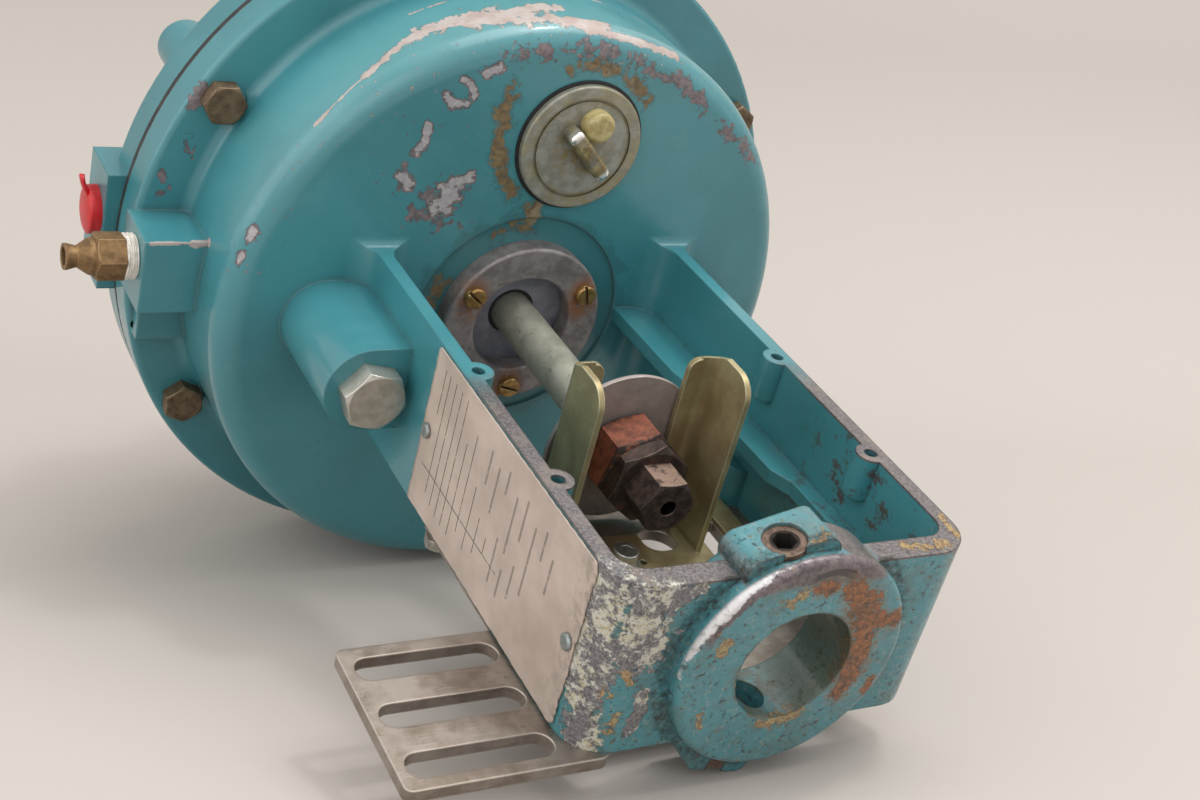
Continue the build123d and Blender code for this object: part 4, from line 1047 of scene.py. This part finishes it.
OTHER_FINISHES = {
    "rear_case": rear_paint(),
    "collar_set_screws": set_screw_metal(),
    "seal_retainer": retainer_metal(),
    "stem_bushing": soft_material("bushing_lavender", (0.27, 0.275, 0.33), (0.2, 0.205, 0.25), 0.42),
    "stem_wiper": soft_material("wiper_rubber", *SEAL_RUBBER),
    "stem_seal": soft_material("seal_rubber", *SEAL_RUBBER),
    "vent_plug": vent_metal(),
    "vent_gasket": soft_material("vent_gasket_rubber", (0.01, 0.01, 0.012), (0.02, 0.02, 0.022), 0.55),
    "vent_button": soft_material("button_cream", (0.44, 0.385, 0.19), (0.3, 0.24, 0.09), 0.38, grain=0.6),
    "slotted_bracket": bracket_metal(),
    "feedback_fork": zinc_yellow("fork_yellow_zinc", (0.42, 0.365, 0.205), (0.29, 0.23, 0.12)),
    "stem": stem_metal(),
    "stem_connector": connector_metal(),
    "lock_nut": rusty_nut(),
    "diaphragm": soft_material("diaphragm_rubber", (0.02, 0.02, 0.02), (0.032, 0.032, 0.03), 0.7),
}
for node, (base, dark, bright, settings) in WORN_METALS.items():
    dress(node, worn_metal(node + "_metal", base, dark, bright, **settings))
for node, material in OTHER_FINISHES.items():
    dress(node, material)
dress("yoke_case", drum_paint(), yoke_paint())


# ---- stage, light and camera ----------------------------------------------------------
def stage_material():
    """Pale matte sheet that only shows its upper side, so that it hides nothing from behind."""
    material = bpy.data.materials.new("pale_sheet")
    material.use_nodes = True
    nodes = material.node_tree.nodes
    links = material.node_tree.links
    nodes.clear()
    output = nodes.new("ShaderNodeOutputMaterial")
    diffuse = nodes.new("ShaderNodeBsdfDiffuse")
    diffuse.inputs["Color"].default_value = (0.48, 0.446, 0.42, 1)
    clear = nodes.new("ShaderNodeBsdfTransparent")
    side = nodes.new("ShaderNodeNewGeometry")
    choose = nodes.new("ShaderNodeMixShader")
    links.new(side.outputs["Backfacing"], choose.inputs[0])
    links.new(diffuse.outputs[0], choose.inputs[1])
    links.new(clear.outputs[0], choose.inputs[2])
    links.new(choose.outputs[0], output.inputs[0])
    return material


# The object lies on the set screw boss of its collar and on the rim of its flange.
BOSS_REST = (0.0437, 0.0045)
RIM_REST = (0.1264, 0.2378)
TABLE_SLOPE = (RIM_REST[0] - BOSS_REST[0]) / (RIM_REST[1] - BOSS_REST[1])
TABLE_Y = BOSS_REST[0] - TABLE_SLOPE * BOSS_REST[1]
TABLE_UP = Vector((0.0, -1.0, TABLE_SLOPE)).normalized()
CAMERA_PLACE = Vector((-0.2827, -0.2868, -0.2778))
CAMERA_RIGHT = Vector((0.86507, -0.23669, -0.44231))
CAMERA_UP = Vector((0.05034, -0.83629, 0.54597))
CAMERA_LENS = 51.87


def make_stage():
    """A table sheet that curves up into a wall behind the object."""
    away = CAMERA_RIGHT.cross(CAMERA_UP) * -1.0
    away = (away - TABLE_UP * away.dot(TABLE_UP)).normalized()
    side = TABLE_UP.cross(away).normalized()
    foot = Vector((0.0, TABLE_Y, 0.0))
    mesh = bmesh.new()
    half_width = 1.6
    bend_start = 0.42
    bend_radius = 0.22
    bend_steps = 12
    step_degrees = 7.0
    profile = [(-1.4, 0.0), (bend_start, 0.0)]
    for step in range(1, bend_steps + 1):
        turn = math.radians(step_degrees * step)
        profile.append((bend_start + bend_radius * math.sin(turn), bend_radius * (1 - math.cos(turn))))
    last = profile[-1]
    profile.append((last[0] + 0.15, last[1] + 1.5))
    rows = []
    for along, up in profile:
        row = []
        for across in (-half_width, half_width):
            row.append(mesh.verts.new(foot + away * along + TABLE_UP * up + side * across))
        rows.append(row)
    for first, second in zip(rows, rows[1:]):
        mesh.faces.new((first[0], first[1], second[1], second[0]))
    bmesh.ops.recalc_face_normals(mesh, faces=mesh.faces)
    data = bpy.data.meshes.new("table_sheet")
    mesh.faces.ensure_lookup_table()
    if mesh.faces[0].normal.dot(TABLE_UP) < 0:
        bmesh.ops.reverse_faces(mesh, faces=mesh.faces)
    mesh.to_mesh(data)
    mesh.free()
    for face in data.polygons:
        face.use_smooth = True
    sheet = bpy.data.objects.new("table_sheet", data)
    bpy.context.scene.collection.objects.link(sheet)
    data.materials.append(stage_material())
    return away, side


def area_light(name, place, target, size, power, colour):
    """A soft rectangular light that faces its target."""
    light = bpy.data.lights.new(name, "AREA")
    light.shape = "RECTANGLE"
    light.size = size[0]
    light.size_y = size[1]
    light.energy = power
    light.color = colour
    item = bpy.data.objects.new(name, light)
    item.location = place
    item.rotation_mode = "QUATERNION"
    item.rotation_quaternion = (target - place).to_track_quat("-Z", "Y")
    bpy.context.scene.collection.objects.link(item)


AWAY, SIDE = make_stage()
CENTRE = Vector((0.0, 0.0, 0.15))
LIGHTS = (
    # name, place up, away and aside from the centre, size, watts, colour
    ("window_above", (1.15, 0, -0.45), (1.3, 1), 11.5, (1, 0.985, 0.96)),
    ("lamp_above", (0.95, -0.05, -0.35), (0.11, 0.11), 1.7, (1, 0.985, 0.96)),
    ("fill_left", (0.5, -0.5, 1), (1, 1), 3.5, (1, 0.98, 0.95)),
    ("fill_front", (0.45, -1.1, 0.2), (1, 0.8), 2.2, (1, 0.97, 0.94)),
)
for name, (up, along, aside), size, watts, colour in LIGHTS:
    area_light(name, CENTRE + TABLE_UP * up + AWAY * along + SIDE * aside, CENTRE, size, watts, colour)

world = bpy.data.worlds.new("pale_room")
world.use_nodes = True
world.node_tree.nodes["Background"].inputs[0].default_value = (0.85, 0.83, 0.81, 1)
world.node_tree.nodes["Background"].inputs[1].default_value = 1.15
bpy.context.scene.world = world
bpy.context.scene.view_settings.view_transform = "Standard"

camera_data = bpy.data.cameras.new("camera")
camera_data.lens = CAMERA_LENS
camera_data.sensor_width = 36.0
camera_data.clip_start = 0.01
camera_data.clip_end = 20.0
camera = bpy.data.objects.new("camera", camera_data)
bpy.context.scene.collection.objects.link(camera)
back = CAMERA_RIGHT.cross(CAMERA_UP)
camera.matrix_world = Matrix(
    (
        (CAMERA_RIGHT.x, CAMERA_UP.x, back.x, CAMERA_PLACE.x),
        (CAMERA_RIGHT.y, CAMERA_UP.y, back.y, CAMERA_PLACE.y),
        (CAMERA_RIGHT.z, CAMERA_UP.z, back.z, CAMERA_PLACE.z),
        (0, 0, 0, 1),
    )
)
bpy.context.scene.camera = camera
